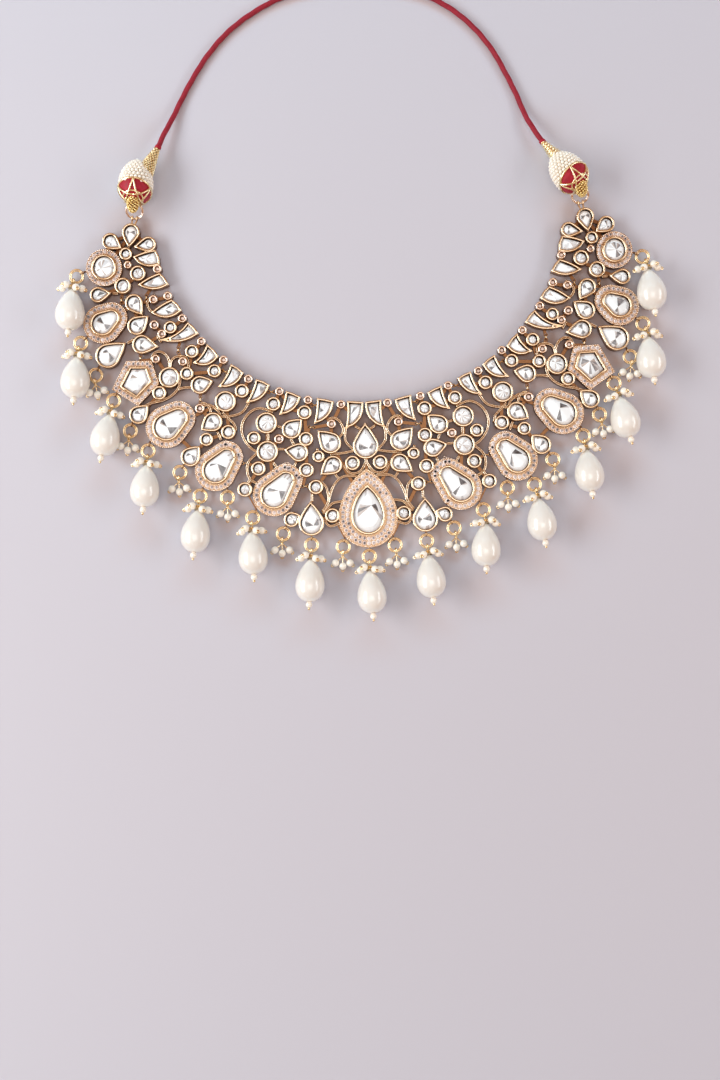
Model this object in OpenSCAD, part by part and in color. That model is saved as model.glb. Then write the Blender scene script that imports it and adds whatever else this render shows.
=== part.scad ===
// Bridal collar of set stones: eleven openwork panels linked side by side, pearl drops
// along the outer edge, two beaded cones and a neck cord. It lies on its back, seen from +Z.

/* [Collar] */
// Half of the collar's width, from the middle line to the outermost pearl
half_span = 90; // [84:1:100]
// Thickness of the closed back behind every stone
floor_t = 0.8; // [0.6:0.1:1.2]
// Height of the walls that hold the stones
bezel_h = 3.0; // [2.6:0.1:3.6]
// Thickness of the walls that hold the stones
bezel_t = 0.5; // [0.4:0.05:0.6]
// Gap between a stone and the metal round it
stone_gap = 0.17; // [0.1:0.01:0.2]
// Height of the pavé plates round the main stones
halo_h = 2.3; // [1.6:0.1:2.5]
// Width of the pavé plates round the main stones
halo_w = 2.2; // [1.8:0.1:2.4]

/* [Stones] */
// Outer width of the widest main setting
main_w = 8.4; // [7.6:0.1:8.8]
// Outer width of the large round settings
big_w = 6.4; // [5.8:0.1:6.6]
// Outer width of the middle round settings
mid_w = 4.3; // [3.9:0.1:4.5]
// Outer width of the smallest round settings
tiny_w = 2.6; // [2.2:0.1:2.8]
// Outer width of a pear-shaped setting
pear_w = 5.8; // [5.2:0.1:6.0]
// Outer width of the pavé plate of the centre medallion
medal_w = 17.8; // [17:0.1:18.2]
// Length of the pavé plate of the centre medallion
medal_l = 23.7; // [22.8:0.1:24.2]
// Outer width of the setting in the centre medallion
medal_stone_w = 10.1; // [9.4:0.1:10.6]
// Outer length of the setting in the centre medallion
medal_stone_l = 14.9; // [14:0.1:15.6]
// How far the cut crown of a stone stands over its wall
crown_rise = 0.35; // [0.2:0.05:0.6]
// Height of the slanted facets of a stone
crown_h = 0.9; // [0.6:0.1:1.2]
// Width of a stone's flat table, as a share of its own width
table_share = 0.58; // [0.45:0.01:0.7]

/* [Wires] */
// Width of the scroll wires
scroll_w = 0.75; // [0.6:0.05:0.9]
// Height of the scroll wires
scroll_h = 2.0; // [1.6:0.1:2.4]
// Width of the hidden struts between settings
strut_w = 1.0; // [0.8:0.1:1.3]
// Height of the hidden struts between settings
strut_h = 1.2; // [1.0:0.1:1.6]

/* [Links] */
// Radius of the small links between panels, to the middle of the wire
link_r = 0.75; // [0.72:0.01:0.85]
// Thickness of the links' wire
link_wire = 0.36; // [0.3:0.02:0.4]
// Gap between a wire and the hole that it runs through
link_gap = 0.15; // [0.12:0.01:0.2]
// Height of the links' middle over the back
link_z = 1.2; // [1.1:0.05:1.5]
// Thickness of the tabs that the links run through
tab_t = 0.4; // [0.3:0.05:0.5]
// Width of metal round the hole in a tab
tab_rim = 0.25; // [0.2:0.05:0.3]

/* [Drops] */
// Radius of the jump rings, to the middle of the wire
ring_r = 2.05; // [1.9:0.05:2.2]
// Thickness of the jump rings' wire
ring_wire = 0.44; // [0.36:0.02:0.5]
// Height of the jump rings' middle over the back
ring_z = 1.6; // [1.5:0.05:1.8]
// Radius of the small standing eyes, to the middle of the wire
eye_r = 0.65; // [0.6:0.05:0.75]
// Thickness of the wire of eyes and head pins
pin_wire = 0.44; // [0.36:0.02:0.5]
// Greatest width of a pearl drop
pearl_w = 8.8; // [8.2:0.1:9.2]
// Length of a pearl drop
pearl_l = 13.6; // [12.6:0.1:14.4]
// Width of the small round pearls
bead_w = 2.3; // [2.0:0.1:2.5]
// Width of the gold balls that end the pins
ball_w = 1.2; // [1.0:0.1:1.4]
// Length of the gold cap over a pearl drop
cap_l = 0.9; // [0.7:0.1:1.1]
// Angle between the pins of a bead cluster
fan = 48; // [46:1:52]

/* [Cones and cord] */
// Greatest width of a cone
cone_w = 10.7; // [10:0.1:11]
// Length of a cone's beaded body
cone_l = 13.5; // [13:0.1:14]
// Width of the knitted knot at a cone's end
knot_w = 3.9; // [3.6:0.1:4.2]
// Length of a cone's braided tip, from inside the body
tip_l = 9.0; // [8.6:0.1:9.4]
// Radius of the hook ring at a cone's end, to the middle of the wire
hook_r = 2.45; // [2.35:0.05:2.6]
// Thickness of the hook ring's wire
hook_wire = 0.5; // [0.4:0.05:0.5]
// Height of the end panel's eyes, which a hook ring runs through
end_eye_z = 2.2; // [2.1:0.05:2.4]
// Thickness of the neck cord
cord_w = 1.6; // [1.4:0.1:1.8]

/* [Hidden] */
$fn = 32;

// The layout tables count in steps of a three-hundredth of the half span, from the
// middle of the centre medallion: u to the right, v up. They hold the left half and
// are turned square to the middle line by layout_turn.
step = half_span / 300;
layout_turn = -2;

// Round and pear-shaped settings. A tip_reach of 0 is a round one, any other is the
// distance from its middle to its point as a share of its radius.
// [u, v, outer width, tip turn, tip reach]
SEATS_1 = [
    [-237, 277.5, pear_w * 0.91, -97, 1.75],
    [-257.5, 268.5, pear_w * 0.85, -33, 1.65],
    [-219.5, 265.5, pear_w * 0.80, 191, 1.9],
    [-242, 256, mid_w * 0.9, 0, 0],
    [-240, 245, tiny_w * 0.9, 0, 0],
    [-210.5, 241, tiny_w, 0, 0],
    [-230, 236.5, mid_w * 1.1, 0, 0],
    [-245, 224, mid_w * 1.15, 0, 0],
    [-270, 215, pear_w * 0.82, 8, 1.7],
];
SEATS_2 = [
    [-234, 207, pear_w * 0.92, -55, 1.7],
    [-231, 184, pear_w * 0.97, 40, 1.64],
    [-226, 165.5, pear_w, -8, 1.75],
    [-260, 154, pear_w * 1.28, 36, 1.8],
    [-214.5, 210.5, tiny_w, 0, 0],
    [-206, 176, tiny_w, 0, 0],
    [-213.5, 185, tiny_w * 1.07, 0, 0],
    [-197.5, 182.5, mid_w * 0.92, 0, 0],
    [-200, 214, tiny_w, 0, 0],
    [-185.5, 191.5, tiny_w, 0, 0],
];
SEATS_3 = [
    [-198.5, 132.5, big_w, 0, 0],
    [-181, 136.5, mid_w * 0.96, 0, 0],
    [-208.5, 117, mid_w, 0, 0],
    [-176, 158.5, mid_w * 0.96, 0, 0],
    [-153.5, 139, mid_w * 0.96, 0, 0],
    [-212, 151, tiny_w, 0, 0],
    [-185, 148.5, tiny_w * 1.04, 0, 0],
    [-229.5, 95, pear_w * 0.96, 44, 1.5],
    [-168, 125, pear_w * 0.95, 17, 1.51],
    [-166.5, 168.5, tiny_w, 0, 0],
    [-144.5, 150, tiny_w, 0, 0],
];
SEATS_4 = [
    [-142.5, 108.5, big_w, 0, 0],
    [-126, 119, mid_w, 0, 0],
    [-139.5, 78, mid_w * 1.03, 0, 0],
    [-161.5, 70.5, mid_w * 0.96, 0, 0],
    [-155, 88, pear_w, 214, 1.47],
    [-177.5, 53, pear_w, 49, 1.48],
    [-168, 101.5, tiny_w * 1.1, 0, 0],
    [-119.5, 131, tiny_w, 0, 0],
];
SEATS_5 = [
    [-101.5, 87, big_w * 1.02, 0, 0],
    [-100.5, 58.5, big_w * 1.02, 0, 0],
    [-94.5, 106, mid_w, 0, 0],
    [-114, 72, mid_w * 0.96, 0, 0],
    [-109.5, 41.5, mid_w * 1.03, 0, 0],
    [-123, 20.5, mid_w * 1.05, 0, 0],
    [-63.5, 97.5, mid_w * 1.03, 0, 0],
    [-62, 71, mid_w * 1.03, 0, 0],
    [-61.5, 40, mid_w * 1.05, 0, 0],
    [-89, 71, tiny_w * 1.1, 0, 0],
    [-76.5, 80.5, pear_w, 44, 1.55],
    [-69, 57.5, pear_w * 0.97, 169, 1.6],
    [-88.5, 118.5, tiny_w, 0, 0],
    [-60, 110, tiny_w, 0, 0],
];
SEATS_CENTRE = [
    [-37.5, 67, pear_w * 1.12, 136, 1.65],
    [-35, 45, pear_w * 0.97, 218, 1.7],
    [-36.5, 86, tiny_w * 1.04, 0, 0],
    [-15.5, 47, mid_w * 1.05, 0, 0],
    [-49.5, 53.5, mid_w * 0.86, 0, 0],
    [-52, 23, mid_w * 1.05, 0, 0],
    [-35.5, -5.5, mid_w * 1.05, 0, 0],
    [-56.5, -13, pear_w * 1.33, 93, 1.69],
    [-76.5, -9.5, pear_w * 0.8, 25, 1.3],
    [-27, 105.5, tiny_w, 0, 0],
];
// The one setting on the middle line, in steps that are already square to it
TOP_SEAT = [0, 64, pear_w * 1.34, 90, 1.78];

// Petal-shaped settings along the neckline. A bulge is the rise of a side over its
// straight line, as a share of that side's length.
// [tip, lower corner, upper corner, lower bulge, neckline bulge, upper bulge]
PETALS_1 = [
    [[-235, 253], [-208, 245], [-212, 260], 0.2, 0.08, 0.05],
    [[-230, 225], [-199, 225], [-208, 237], 0.16, 0.06, 0.05],
];
PETALS_2 = [
    [[-217, 197], [-186, 199], [-196, 210.5], 0.2, 0.08, 0.05],
    [[-208, 170], [-169, 176], [-180, 188], 0.13, 0.06, -0.1],
];
PETALS_3 = [
    [[-175, 147], [-149, 153.5], [-161, 166], 0.22, 0.06, -0.08],
];
PETALS_4 = [
    [[-150, 123], [-124, 137], [-137, 146], 0.2, 0.05, -0.05],
    [[-122, 107], [-98, 125], [-112, 131], 0.18, 0.04, -0.05],
];
PETALS_5 = [
    [[-89, 95], [-67, 113], [-82, 119], 0.18, 0.03, -0.04],
];
PETALS_CENTRE = [
    [[-54, 86], [-34, 108.5], [-51, 112], 0.18, 0.02, -0.03],
    [[-22.5, 81], [-4.5, 108], [-21, 109], 0.2, 0, -0.04],
];

// Main settings: two circles drawn together, as shares of half of main_w, with a
// pavé plate whose width is a share of halo_w.
// [u, v, wide end, narrow end, distance apart, turn, plate]
MAINS = [
    [-264, 242, 0.89, 0.86, 0.1, 90, 0.76],
    [-265.5, 186, 0.86, 0.61, 0.77, 34, 1],
    [-231.5, 127, 1, 1, 0, 0, 0.85],
    [-201.5, 83, 1, 0.71, 1.08, 38, 0.94],
    [-152.5, 39.5, 0.96, 0.64, 1.26, 50, 0.97],
    [-94, 15, 1, 0.64, 1.37, 51, 1],
];
// The third main setting is a five-sided one: its corners from its middle, as shares
// of half of main_w
FIVE_SIDED = [[-0.46, 1.14], [-1.18, -0.29], [0.04, -1.07], [1.11, 0.07], [0.75, 1.14]];
FIVE_SIDED_ROW = 2;
// Which main settings sit on each panel
PANEL_MAINS = [[0], [1], [2], [3, 4], [5]];

// Scroll wires, drawn smoothly through their points
SCROLLS_1 = [
    [[-250, 217], [-256, 217]],
];
SCROLLS_2 = [
    [[-213, 215], [-219, 211], [-221, 206], [-218, 200], [-213, 198]],
    [[-211, 175], [-207, 168]],
    [[-234, 171], [-241, 167]],
];
SCROLLS_3 = [
    [[-217, 150], [-214, 157], [-208, 158.5], [-202, 155], [-199, 149], [-198.5, 142]],
    [[-198, 142], [-197, 149], [-193, 153], [-186, 154], [-181, 151], [-179.5, 142]],
    [[-189, 138], [-188, 130], [-190, 122], [-196, 115], [-205, 110], [-217, 107], [-226, 103]],
    [[-190, 121], [-184, 122.5], [-175, 123]],
];
SCROLLS_4 = [
    [[-146, 98], [-139, 91], [-134, 86], [-132, 79]],
    [[-168, 105], [-164, 107], [-159, 103], [-157, 96]],
    [[-119, 108], [-125, 99], [-133, 95], [-146, 93.5], [-150, 99], [-158, 105], [-166, 104]],
    [[-151, 79], [-147, 70]],
];
SCROLLS_5 = [
    [[-95, 98], [-108, 102], [-118, 98], [-125, 89], [-126.5, 79], [-123, 69], [-116, 61], [-108, 57]],
    [[-111, 57], [-119, 49], [-121, 40], [-118, 31], [-108, 25]],
    [[-118, 31], [-123, 22]],
    [[-91, 84], [-84, 82]],
    [[-100, 78], [-100, 68]],
    [[-91, 61], [-83, 61]],
    [[-78, 73], [-74, 65]],
    [[-95, 48], [-91, 42]],
    [[-72, 48], [-75, 40]],
];
SCROLLS_CENTRE = [
    [[-40, 88], [-37, 92], [-31, 91], [-26, 85], [-25, 78], [-32, 69]],
    [[-22, 84], [-23, 73], [-21, 67], [-13, 59]],
    [[-38, 56], [-26, 57], [-11, 60]],
    [[-13, 84], [-6, 80]],
    [[-25, 46], [-19, 38], [-12, 37], [-6, 41], [0, 53]],
    [[-11, 34], [-23, 34], [-30, 30], [-35, 23], [-38, 15], [-40, 7], [-46, -2]],
    [[-48, 29], [-42, 23], [-39.5, 13], [-40, 7]],
    [[-25, 9], [-35, 7], [-40, 2], [-45, -4]],
    [[-43, -9], [-41, -14], [-36, -16], [-26, -12]],
    [[-33, 36], [-29, 31]],
    [[-56, 17], [-56, 8]],
    [[-51, 62], [-49, 56]],
    [[-69, -8], [-75, -9]],
];

// One panel after the other, from the left end to the middle
SEATS = [SEATS_1, SEATS_2, SEATS_3, SEATS_4, SEATS_5, SEATS_CENTRE];
PETALS = [PETALS_1, PETALS_2, PETALS_3, PETALS_4, PETALS_5, PETALS_CENTRE];
SCROLLS = [SCROLLS_1, SCROLLS_2, SCROLLS_3, SCROLLS_4, SCROLLS_5, SCROLLS_CENTRE];
CENTRE = 5;

// Links between one panel and the next
// [u, v, turn, panel before, panel after]
LINKS = [
    [-222, 213, -90, 0, 1],
    [-247, 210.5, -90, 0, 1],
    [-190, 160.5, -90, 1, 2],
    [-228, 152.3, -90, 1, 2],
    [-143.5, 139, -20, 2, 3],
    [-168, 111, -90, 2, 3],
    [-97, 118.5, 0, 3, 4],
    [-123, 47, 0, 3, 4],
    [-53.5, 105, 0, 4, 5],
    [-56.5, 83, 0, 4, 5],
    [-62.8, 24, 0, 4, 5],
];

// Pearl drops: where the eye stands, which way the jump ring lies, which way the pearl lies
// [u, v, ring turn, pearl turn, panel]
DROPS = [
    [-286, 237.5, -150, -92, 0],
    [-283, 172, -135, -91.5, 1],
    [-252.5, 116, -110, -99, 2],
    [-219, 66, -101, -92, 3],
    [-166, 20.5, -108, -94, 3],
    [-112.5, -1.5, -115, -86, 4],
    [-56.5, -28, -90, -92, 5],
];
// The drop on the middle line, in steps that are already square to it
CENTRE_DROP = [0, -39.5, -90, -86, 5];
// Clusters of three small pearls, with the columns of the pearl drops
CLUSTERS = [
    [-270.5, 141.5, -110, -80, 1],
    [-236.5, 86, -104, -97, 2],
    [-185.5, 44, -115, -87, 3],
    [-141, 19.5, -88, -90, 3],
    [-82.5, -17.5, -110, -90, 5],
    [-23.5, -30, -100, -90, 5],
];

// Middle between the end panel's two eyes, and the way the left hook ring points
END_EYE = [-233.5, 291.5];
HOOK_TURN = 85;
// The left and the right cone, both as if on the left side
// [turn of its body, sideways shift of its tip in millimetres, bend of its tip,
// outward shift of its body in millimetres]
CONE_LEFT = [85, 2.5, 18, 0];
CONE_RIGHT = [55, -0.45, 0, 0.5];
// How far a braided tip slopes down to the ground
TIP_SLOPE = 16;
// A cone's body from its hook ring to its tip
// [share of its length, share of half its width]
CONE_PROFILE = [
    [0, 0.3], [0.03, 0.47], [0.08, 0.65], [0.15, 0.81], [0.24, 0.93], [0.34, 0.99],
    [0.42, 1], [0.54, 0.98], [0.66, 0.91], [0.76, 0.8], [0.86, 0.62], [0.94, 0.4], [1, 0.12],
];
// The cord in millimetres from the left cone to the right one, without its two ends
CORD_ROUTE = [
    [-57, 115.2, 2.6], [-54.5, 120, 1.5], [-51.5, 126, 0.9], [-48, 132, 0.9],
    [-43.5, 138.5, 0.9], [-37.5, 145, 0.9], [-30, 150.5, 0.9], [-21, 155, 0.9],
    [-11, 157.5, 0.9], [0, 158.5, 0.9], [11, 157.5, 0.9], [21, 155, 0.9],
    [29.5, 150.5, 0.9], [36.5, 144.5, 0.9], [42, 137.5, 0.9], [46, 130, 0.9],
    [49, 123.5, 0.9], [51, 118, 1.4], [53, 113.5, 2.5],
];

// Layout point to millimetres, square to the middle line
function square_to(p) = [
    p[0] * cos(layout_turn) - p[1] * sin(layout_turn),
    p[0] * sin(layout_turn) + p[1] * cos(layout_turn),
];
function at(p) = step * square_to(p);
function along(turn) = [cos(turn), sin(turn)];
function left_of(p) = [-p[1], p[0]];

// Ring of n points of radius r
function ring_points(r, n) = [for (i = [0:n - 1]) r * along(360 * i / n)];

// Pear: an arc of radius r and two softly bowed sides to a point at r * reach
function pear_points(r, reach, n) =
    let (
        edge = acos(1 / reach),
        tip = [r * reach, 0],
        bow = 0.05 * r,
        low = r * along(-edge),
        high = r * along(edge)
    )
    concat(
        [for (i = [0:n]) r * along(edge + (360 - 2 * edge) * i / n)],
        [(low + tip) / 2 + bow * along(-edge)],
        [tip],
        [(high + tip) / 2 + bow * along(edge)]
    );

// Drop from its tip on +X, as wide as w where a share of 0.615 of its length l is behind it
function drop_points(w, l, n) = [
    for (i = [0:n - 1])
        let (t = 360 * i / n, s = (1 - cos(t)) / 2)
        [(0.615 - s) * l, w / 2 * sin(t) * pow(s, 0.3) / 0.841]
];

// Egg: the outline drawn round a wide and a narrow circle
function egg_points(wide, narrow, apart, n) =
    let (edge = apart > 0 ? acos((wide - narrow) / apart) : 90)
    concat(
        [for (i = [0:n]) wide * along(edge + (360 - 2 * edge) * i / n)],
        [for (i = [0:n / 2]) [apart, 0] + narrow * along(-edge + 4 * edge * i / n)]
    );

// Points of a bowed side from p to q, without q
function side_points(p, q, bulge, n) = [
    for (i = [0:n - 1])
        let (t = i / n)
        p + t * (q - p) - 4 * t * (1 - t) * bulge * left_of(q - p)
];

// Petal from a row of a petal table
function petal_points(row) =
    let (tip = at(row[0]), low = at(row[1]), high = at(row[2]))
    concat(
        side_points(tip, low, row[3], 4),
        side_points(low, high, row[4], 2),
        side_points(high, tip, row[5], 4)
    );

// An outline drawn in by e, with each corner on the bisector of its two sides
function drawn_in(points, e) = [
    for (i = [0:len(points) - 1])
        let (
            n = len(points),
            before = points[i] - points[(i + n - 1) % n],
            after = points[(i + 1) % n] - points[i],
            a = left_of(before) / norm(before),
            b = left_of(after) / norm(after)
        )
        points[i] + e * (a + b) / (1 + a * b)
];

// An outline turned about the origin and moved to a place
function placed(points, place, turn) = [
    for (p = points)
        place + [p[0] * cos(turn) - p[1] * sin(turn), p[0] * sin(turn) + p[1] * cos(turn)]
];

// Outline of a row of a seat table, in n steps round its arc
function seat_points(row, n) = placed(
    row[4] > 1 ? pear_points(row[2] / 2, row[4], n) : ring_points(row[2] / 2, n),
    at([row[0], row[1]]), row[3] + layout_turn
);

// Outline of a main setting, grown by e
function main_points(index, e, n) =
    let (row = MAINS[index], r = main_w / 2)
    placed(
        index == FIVE_SIDED_ROW
            ? drawn_in(r * FIVE_SIDED, -e)
            : egg_points(row[2] * r + e, row[3] * r + e, row[4] * r, n),
        at([row[0], row[1]]), row[5] + layout_turn
    );

function middle(points) = [for (axis = [0, 1]) sum_of([for (p = points) p[axis]]) / len(points)];
function sum_of(values, i = 0) = i < len(values) ? values[i] + sum_of(values, i + 1) : 0;

// Centres of everything that one panel carries, in millimetres
function centres(panel) = concat(
    panel < CENTRE ? [for (i = PANEL_MAINS[panel]) at([MAINS[i][0], MAINS[i][1]])] : [[0, 0]],
    [for (row = SEATS[panel]) at([row[0], row[1]])],
    [for (row = PETALS[panel]) middle(petal_points(row))]
);

// The nearest of some points to p
function nearest(p, points) =
    let (best = min([for (q = points) norm(q - p)]))
    [for (q = points) if (norm(q - p) <= best) q][0];

// Smooth line through points, with n steps between two of them
function smooth(points, n) = concat(
    [
        for (i = [0:len(points) - 2], j = [0:n - 1])
            let (
                t = j / n,
                a = points[max(i - 1, 0)],
                b = points[i],
                c = points[i + 1],
                d = points[min(i + 2, len(points) - 1)]
            )
            b + t * (c - a) / 2 + t * t * (a - 5 * b / 2 + 2 * c - d / 2)
                + t * t * t * (3 * (b - c) + d - a) / 2
    ],
    [points[len(points) - 1]]
);

// The way a line runs at its point i
function heading(line, i) =
    let (d = line[min(i + 1, len(line) - 1)] - line[max(i - 1, 0)])
    d / norm(d);

// Outline of a band of a width that follows a line
function band_points(line, width) = concat(
    [for (i = [0:len(line) - 1]) line[i] - left_of(heading(line, i)) * width / 2],
    [for (i = [len(line) - 1:-1:0]) line[i] + left_of(heading(line, i)) * width / 2]
);

// Straight bar between two points of the layout plane
module bar(p, q, width, z, height) {
    translate([0, 0, z])
        linear_extrude(height) polygon(band_points([p, q], width));
}

// Round wire bent to a ring about Z
module wire_ring(radius, wire) {
    rotate_extrude() translate([radius, 0]) circle(d = wire);
}

// Ring that stands up, with its plane along a turn
module standing_ring(radius, wire, turn) {
    rotate([0, 0, turn]) rotate([90, 0, 0]) wire_ring(radius, wire);
}

// Stone with an upright girdle, a ring of slanted facets and a flat table
module cut_stone(outline) {
    n = len(outline);
    centre = middle(outline);
    base = floor_t + stone_gap;
    top = bezel_h + crown_rise;
    levels = [[base, 1], [top - crown_h, 1], [top, table_share]];
    points = [
        for (level = levels, p = outline)
            let (q = centre + level[1] * (p - centre))
            [q[0], q[1], level[0]]
    ];
    faces = concat(
        [[for (i = [0:n - 1]) i]],
        [
            for (k = [0, 1], i = [0:n - 1])
                [k * n + i, (k + 1) * n + i, (k + 1) * n + (i + 1) % n, k * n + (i + 1) % n]
        ],
        [[for (i = [n - 1:-1:0]) 2 * n + i]]
    );
    polyhedron(points, faces);
}

// Stone that fills a setting whose outline is given
module set_stone(outline) {
    cut_stone(drawn_in(outline, bezel_t + stone_gap));
}

// Pocket for a stone, open at the top
module pocket(outline) {
    translate([0, 0, floor_t])
        linear_extrude(bezel_h) polygon(drawn_in(outline, bezel_t));
}

// Round setting's wall, or its pocket when drawn in
module seat_body(row, e, z) {
    translate([0, 0, z]) linear_extrude(bezel_h)
        if (row[4] > 1)
            polygon(drawn_in(seat_points(row, 12), e));
        else
            translate(at([row[0], row[1]])) circle(d = row[2] - 2 * e);
}

// Tab with a hole for a link, and the bar that carries it
module link_tab(place, panel) {
    outer = link_wire / 2 + link_gap + tab_rim;
    translate([0, 0, link_z - tab_t / 2]) {
        translate(place) cylinder(r = outer, h = tab_t);
        bar(place, nearest(place, centres(panel)), 2 * outer - tab_rim, 0, tab_t);
    }
}

// Where a link's wire runs through a tab: side is -1 before it and 1 after it
function tab_place(row, side) =
    at([row[0], row[1]]) + side * link_r * along(row[2] + layout_turn);

module link_tabs(panel) {
    for (row = LINKS) {
        if (row[3] == panel) link_tab(tab_place(row, -1), panel);
        if (row[4] == panel) link_tab(tab_place(row, 1), panel);
    }
}

// Holes in the tabs for the links
module link_holes(panel) {
    for (row = LINKS) if (row[3] == panel || row[4] == panel)
        for (side = [-1, 1]) translate(tab_place(row, side))
            cylinder(r = link_wire / 2 + link_gap, h = bezel_h);
}

// Eye that holds a jump ring, with the bar that carries it
module drop_eye(row, place, panel) {
    turn = row[2] + layout_turn;
    translate([place[0], place[1], ring_z]) standing_ring(eye_r, pin_wire, turn);
    bar(
        place - eye_r * along(turn), nearest(place, centres(panel)),
        pin_wire, ring_z - pin_wire / 2, pin_wire
    );
}

module drop_eyes(panel) {
    for (row = concat(DROPS, CLUSTERS)) if (row[4] == panel)
        drop_eye(row, at([row[0], row[1]]), panel);
}

// Struts from every setting to the nearest of those before it in the tables
module struts(points) {
    for (i = [1:len(points) - 1])
        bar(points[i], nearest(points[i], [for (j = [0:i - 1]) points[j]]), strut_w, 0, strut_h);
}

// Tie from the first end of a short scroll wire to the setting beside it
module tie(end, points) {
    bar(end, nearest(end, points), scroll_w, 0, strut_h);
}

// Slot that keeps the walls round a link clear of it
module link_slots(panel) {
    for (row = LINKS) if (row[3] == panel || row[4] == panel)
        translate(at([row[0], row[1]])) rotate(row[2] + layout_turn)
            linear_extrude(2 * bezel_h, center = true)
                square([2 * link_r + link_wire + 2 * link_gap, link_wire + 2 * link_gap], center = true);
}

// Metal of a panel, or of the left half of the centre one
module panel_metal(panel) {
    difference() {
        union() {
            difference() {
                union() {
                    for (row = SEATS[panel]) seat_body(row, 0, 0);
                    for (row = PETALS[panel]) linear_extrude(bezel_h) polygon(petal_points(row));
                    if (panel < CENTRE) for (i = PANEL_MAINS[panel]) {
                        linear_extrude(bezel_h) polygon(main_points(i, 0, 16));
                        linear_extrude(halo_h) polygon(main_points(i, MAINS[i][6] * halo_w, 20));
                    }
                    for (line = SCROLLS[panel]) {
                        linear_extrude(scroll_h)
                            polygon(band_points(smooth([for (p = line) at(p)], 3), scroll_w));
                        if (len(line) == 2) tie(at(line[0]), centres(panel));
                    }
                    struts(centres(panel));
                }
                link_slots(panel);
            }
            link_tabs(panel);
            drop_eyes(panel);
            if (panel == 0) end_eyes();
        }
        for (row = SEATS[panel]) seat_body(row, bezel_t, floor_t);
        for (row = PETALS[panel]) pocket(petal_points(row));
        if (panel < CENTRE) for (i = PANEL_MAINS[panel]) pocket(main_points(i, 0, 16));
        link_holes(panel);
    }
}

module mirrored() {
    mirror([1, 0, 0]) children();
}

module side_panel(panel) {
    color("goldenrod") panel_metal(panel);
}

// Outlines on the middle line: the medallion's plate and setting, and the pear over it
medal_outline = placed(drop_points(medal_w, medal_l, 36), step * [0, -7.2], 90);
medal_stone_outline = placed(drop_points(medal_stone_w, medal_stone_l, 24), step * [0, -5.7], 90);
top_outline = placed(
    pear_points(TOP_SEAT[2] / 2, TOP_SEAT[4], 12), step * [TOP_SEAT[0], TOP_SEAT[1]], TOP_SEAT[3]
);

module centre_panel() {
    color("goldenrod") difference() {
        union() {
            panel_metal(CENTRE);
            mirrored() panel_metal(CENTRE);
            linear_extrude(halo_h) polygon(medal_outline);
            linear_extrude(bezel_h) polygon(medal_stone_outline);
            linear_extrude(bezel_h) polygon(top_outline);
            bar([0, 0], step * [TOP_SEAT[0], TOP_SEAT[1]], strut_w, 0, strut_h);
            drop_eye(CENTRE_DROP, step * [CENTRE_DROP[0], CENTRE_DROP[1]], CENTRE);
        }
        pocket(medal_stone_outline);
        pocket(top_outline);
    }
}

// Is a setting large enough for a cut stone of its own?
function is_cut(row) = row[2] > 1.15 * tiny_w;

// Cut stones of a panel, or of the left half of the centre one
module panel_stones(panel) {
    color("white") {
        for (row = SEATS[panel]) if (is_cut(row)) set_stone(seat_points(row, 10));
        for (row = PETALS[panel]) set_stone(petal_points(row));
    }
}

module centre_stones() {
    panel_stones(CENTRE);
    mirrored() panel_stones(CENTRE);
    color("white") set_stone(top_outline);
}

module main_stone(index) {
    color("white") set_stone(main_points(index, 0, 16));
}

module centre_main_stone() {
    color("white") set_stone(medal_stone_outline);
}

// Where a jump ring carries what hangs from it, turned halfway towards its own way
function hang_place(row, place) =
    place + ring_r * along(row[2] + layout_turn)
        + ring_r * along((row[2] + row[3]) / 2 + layout_turn);

// Length of a head pin from its loop's middle to the pearl
pearl_from = eye_r + pin_wire / 2 + cap_l + stone_gap;
// Share of a pearl's length from its top to its widest place
PEARL_WIDEST = 0.636;
// A pearl lies on its belly, so its axis climbs from the loop by this angle
lie_angle = asin((0.535 * pearl_w - ring_z) / (pearl_from + PEARL_WIDEST * pearl_l));

// Frame of a pearl drop: its origin in the loop's middle and Z along the pearl
module hung(row, place) {
    translate(concat(hang_place(row, place), ring_z))
        rotate([0, 90 - lie_angle, row[3] + layout_turn]) children();
}

// Teardrop along Z from its narrow top, drilled for the pin
module pearl_body() {
    hole = pin_wire / 2 + stone_gap;
    rotate_extrude() polygon(concat(
        [
            for (t = [10:10:170])
                [
                    max(pearl_w / 2 * sin(t) * pow(sin(t / 2), 0.75) / 0.812, hole + 0.05),
                    pearl_l / 2 * (1 - cos(t)),
                ]
        ],
        [[hole, pearl_l / 2 * (1 - cos(170))], [hole, pearl_l / 2 * (1 - cos(10))]]
    ));
}

module pearl(row, place) {
    color("ivory") hung(row, place) translate([0, 0, pearl_from]) pearl_body();
}

// Round rod from p to q in space
module rod(p, q, wire) {
    d = q - p;
    translate(p) rotate([0, acos(d[2] / norm(d)), atan2(d[1], d[0])])
        cylinder(d = wire, h = norm(d));
}

// Small pearl on a pin that starts inside a knot at p, with a gold ball behind it
module pinned_bead(p, centre) {
    way = (centre - p) / norm(centre - p);
    ball = centre + (bead_w / 2 + ball_w / 3) * way;
    rod(p + 0.7 * pin_wire * way, ball, 0.8 * pin_wire);
    translate(centre) sphere(d = bead_w);
    translate(ball) sphere(d = ball_w);
}

// Loop of a head pin, in the upright plane halfway between its ring and what it carries
module pin_loop(row, place) {
    translate(concat(hang_place(row, place), ring_z))
        standing_ring(eye_r, pin_wire, (row[2] + 3 * row[3]) / 4 + layout_turn);
}

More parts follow.
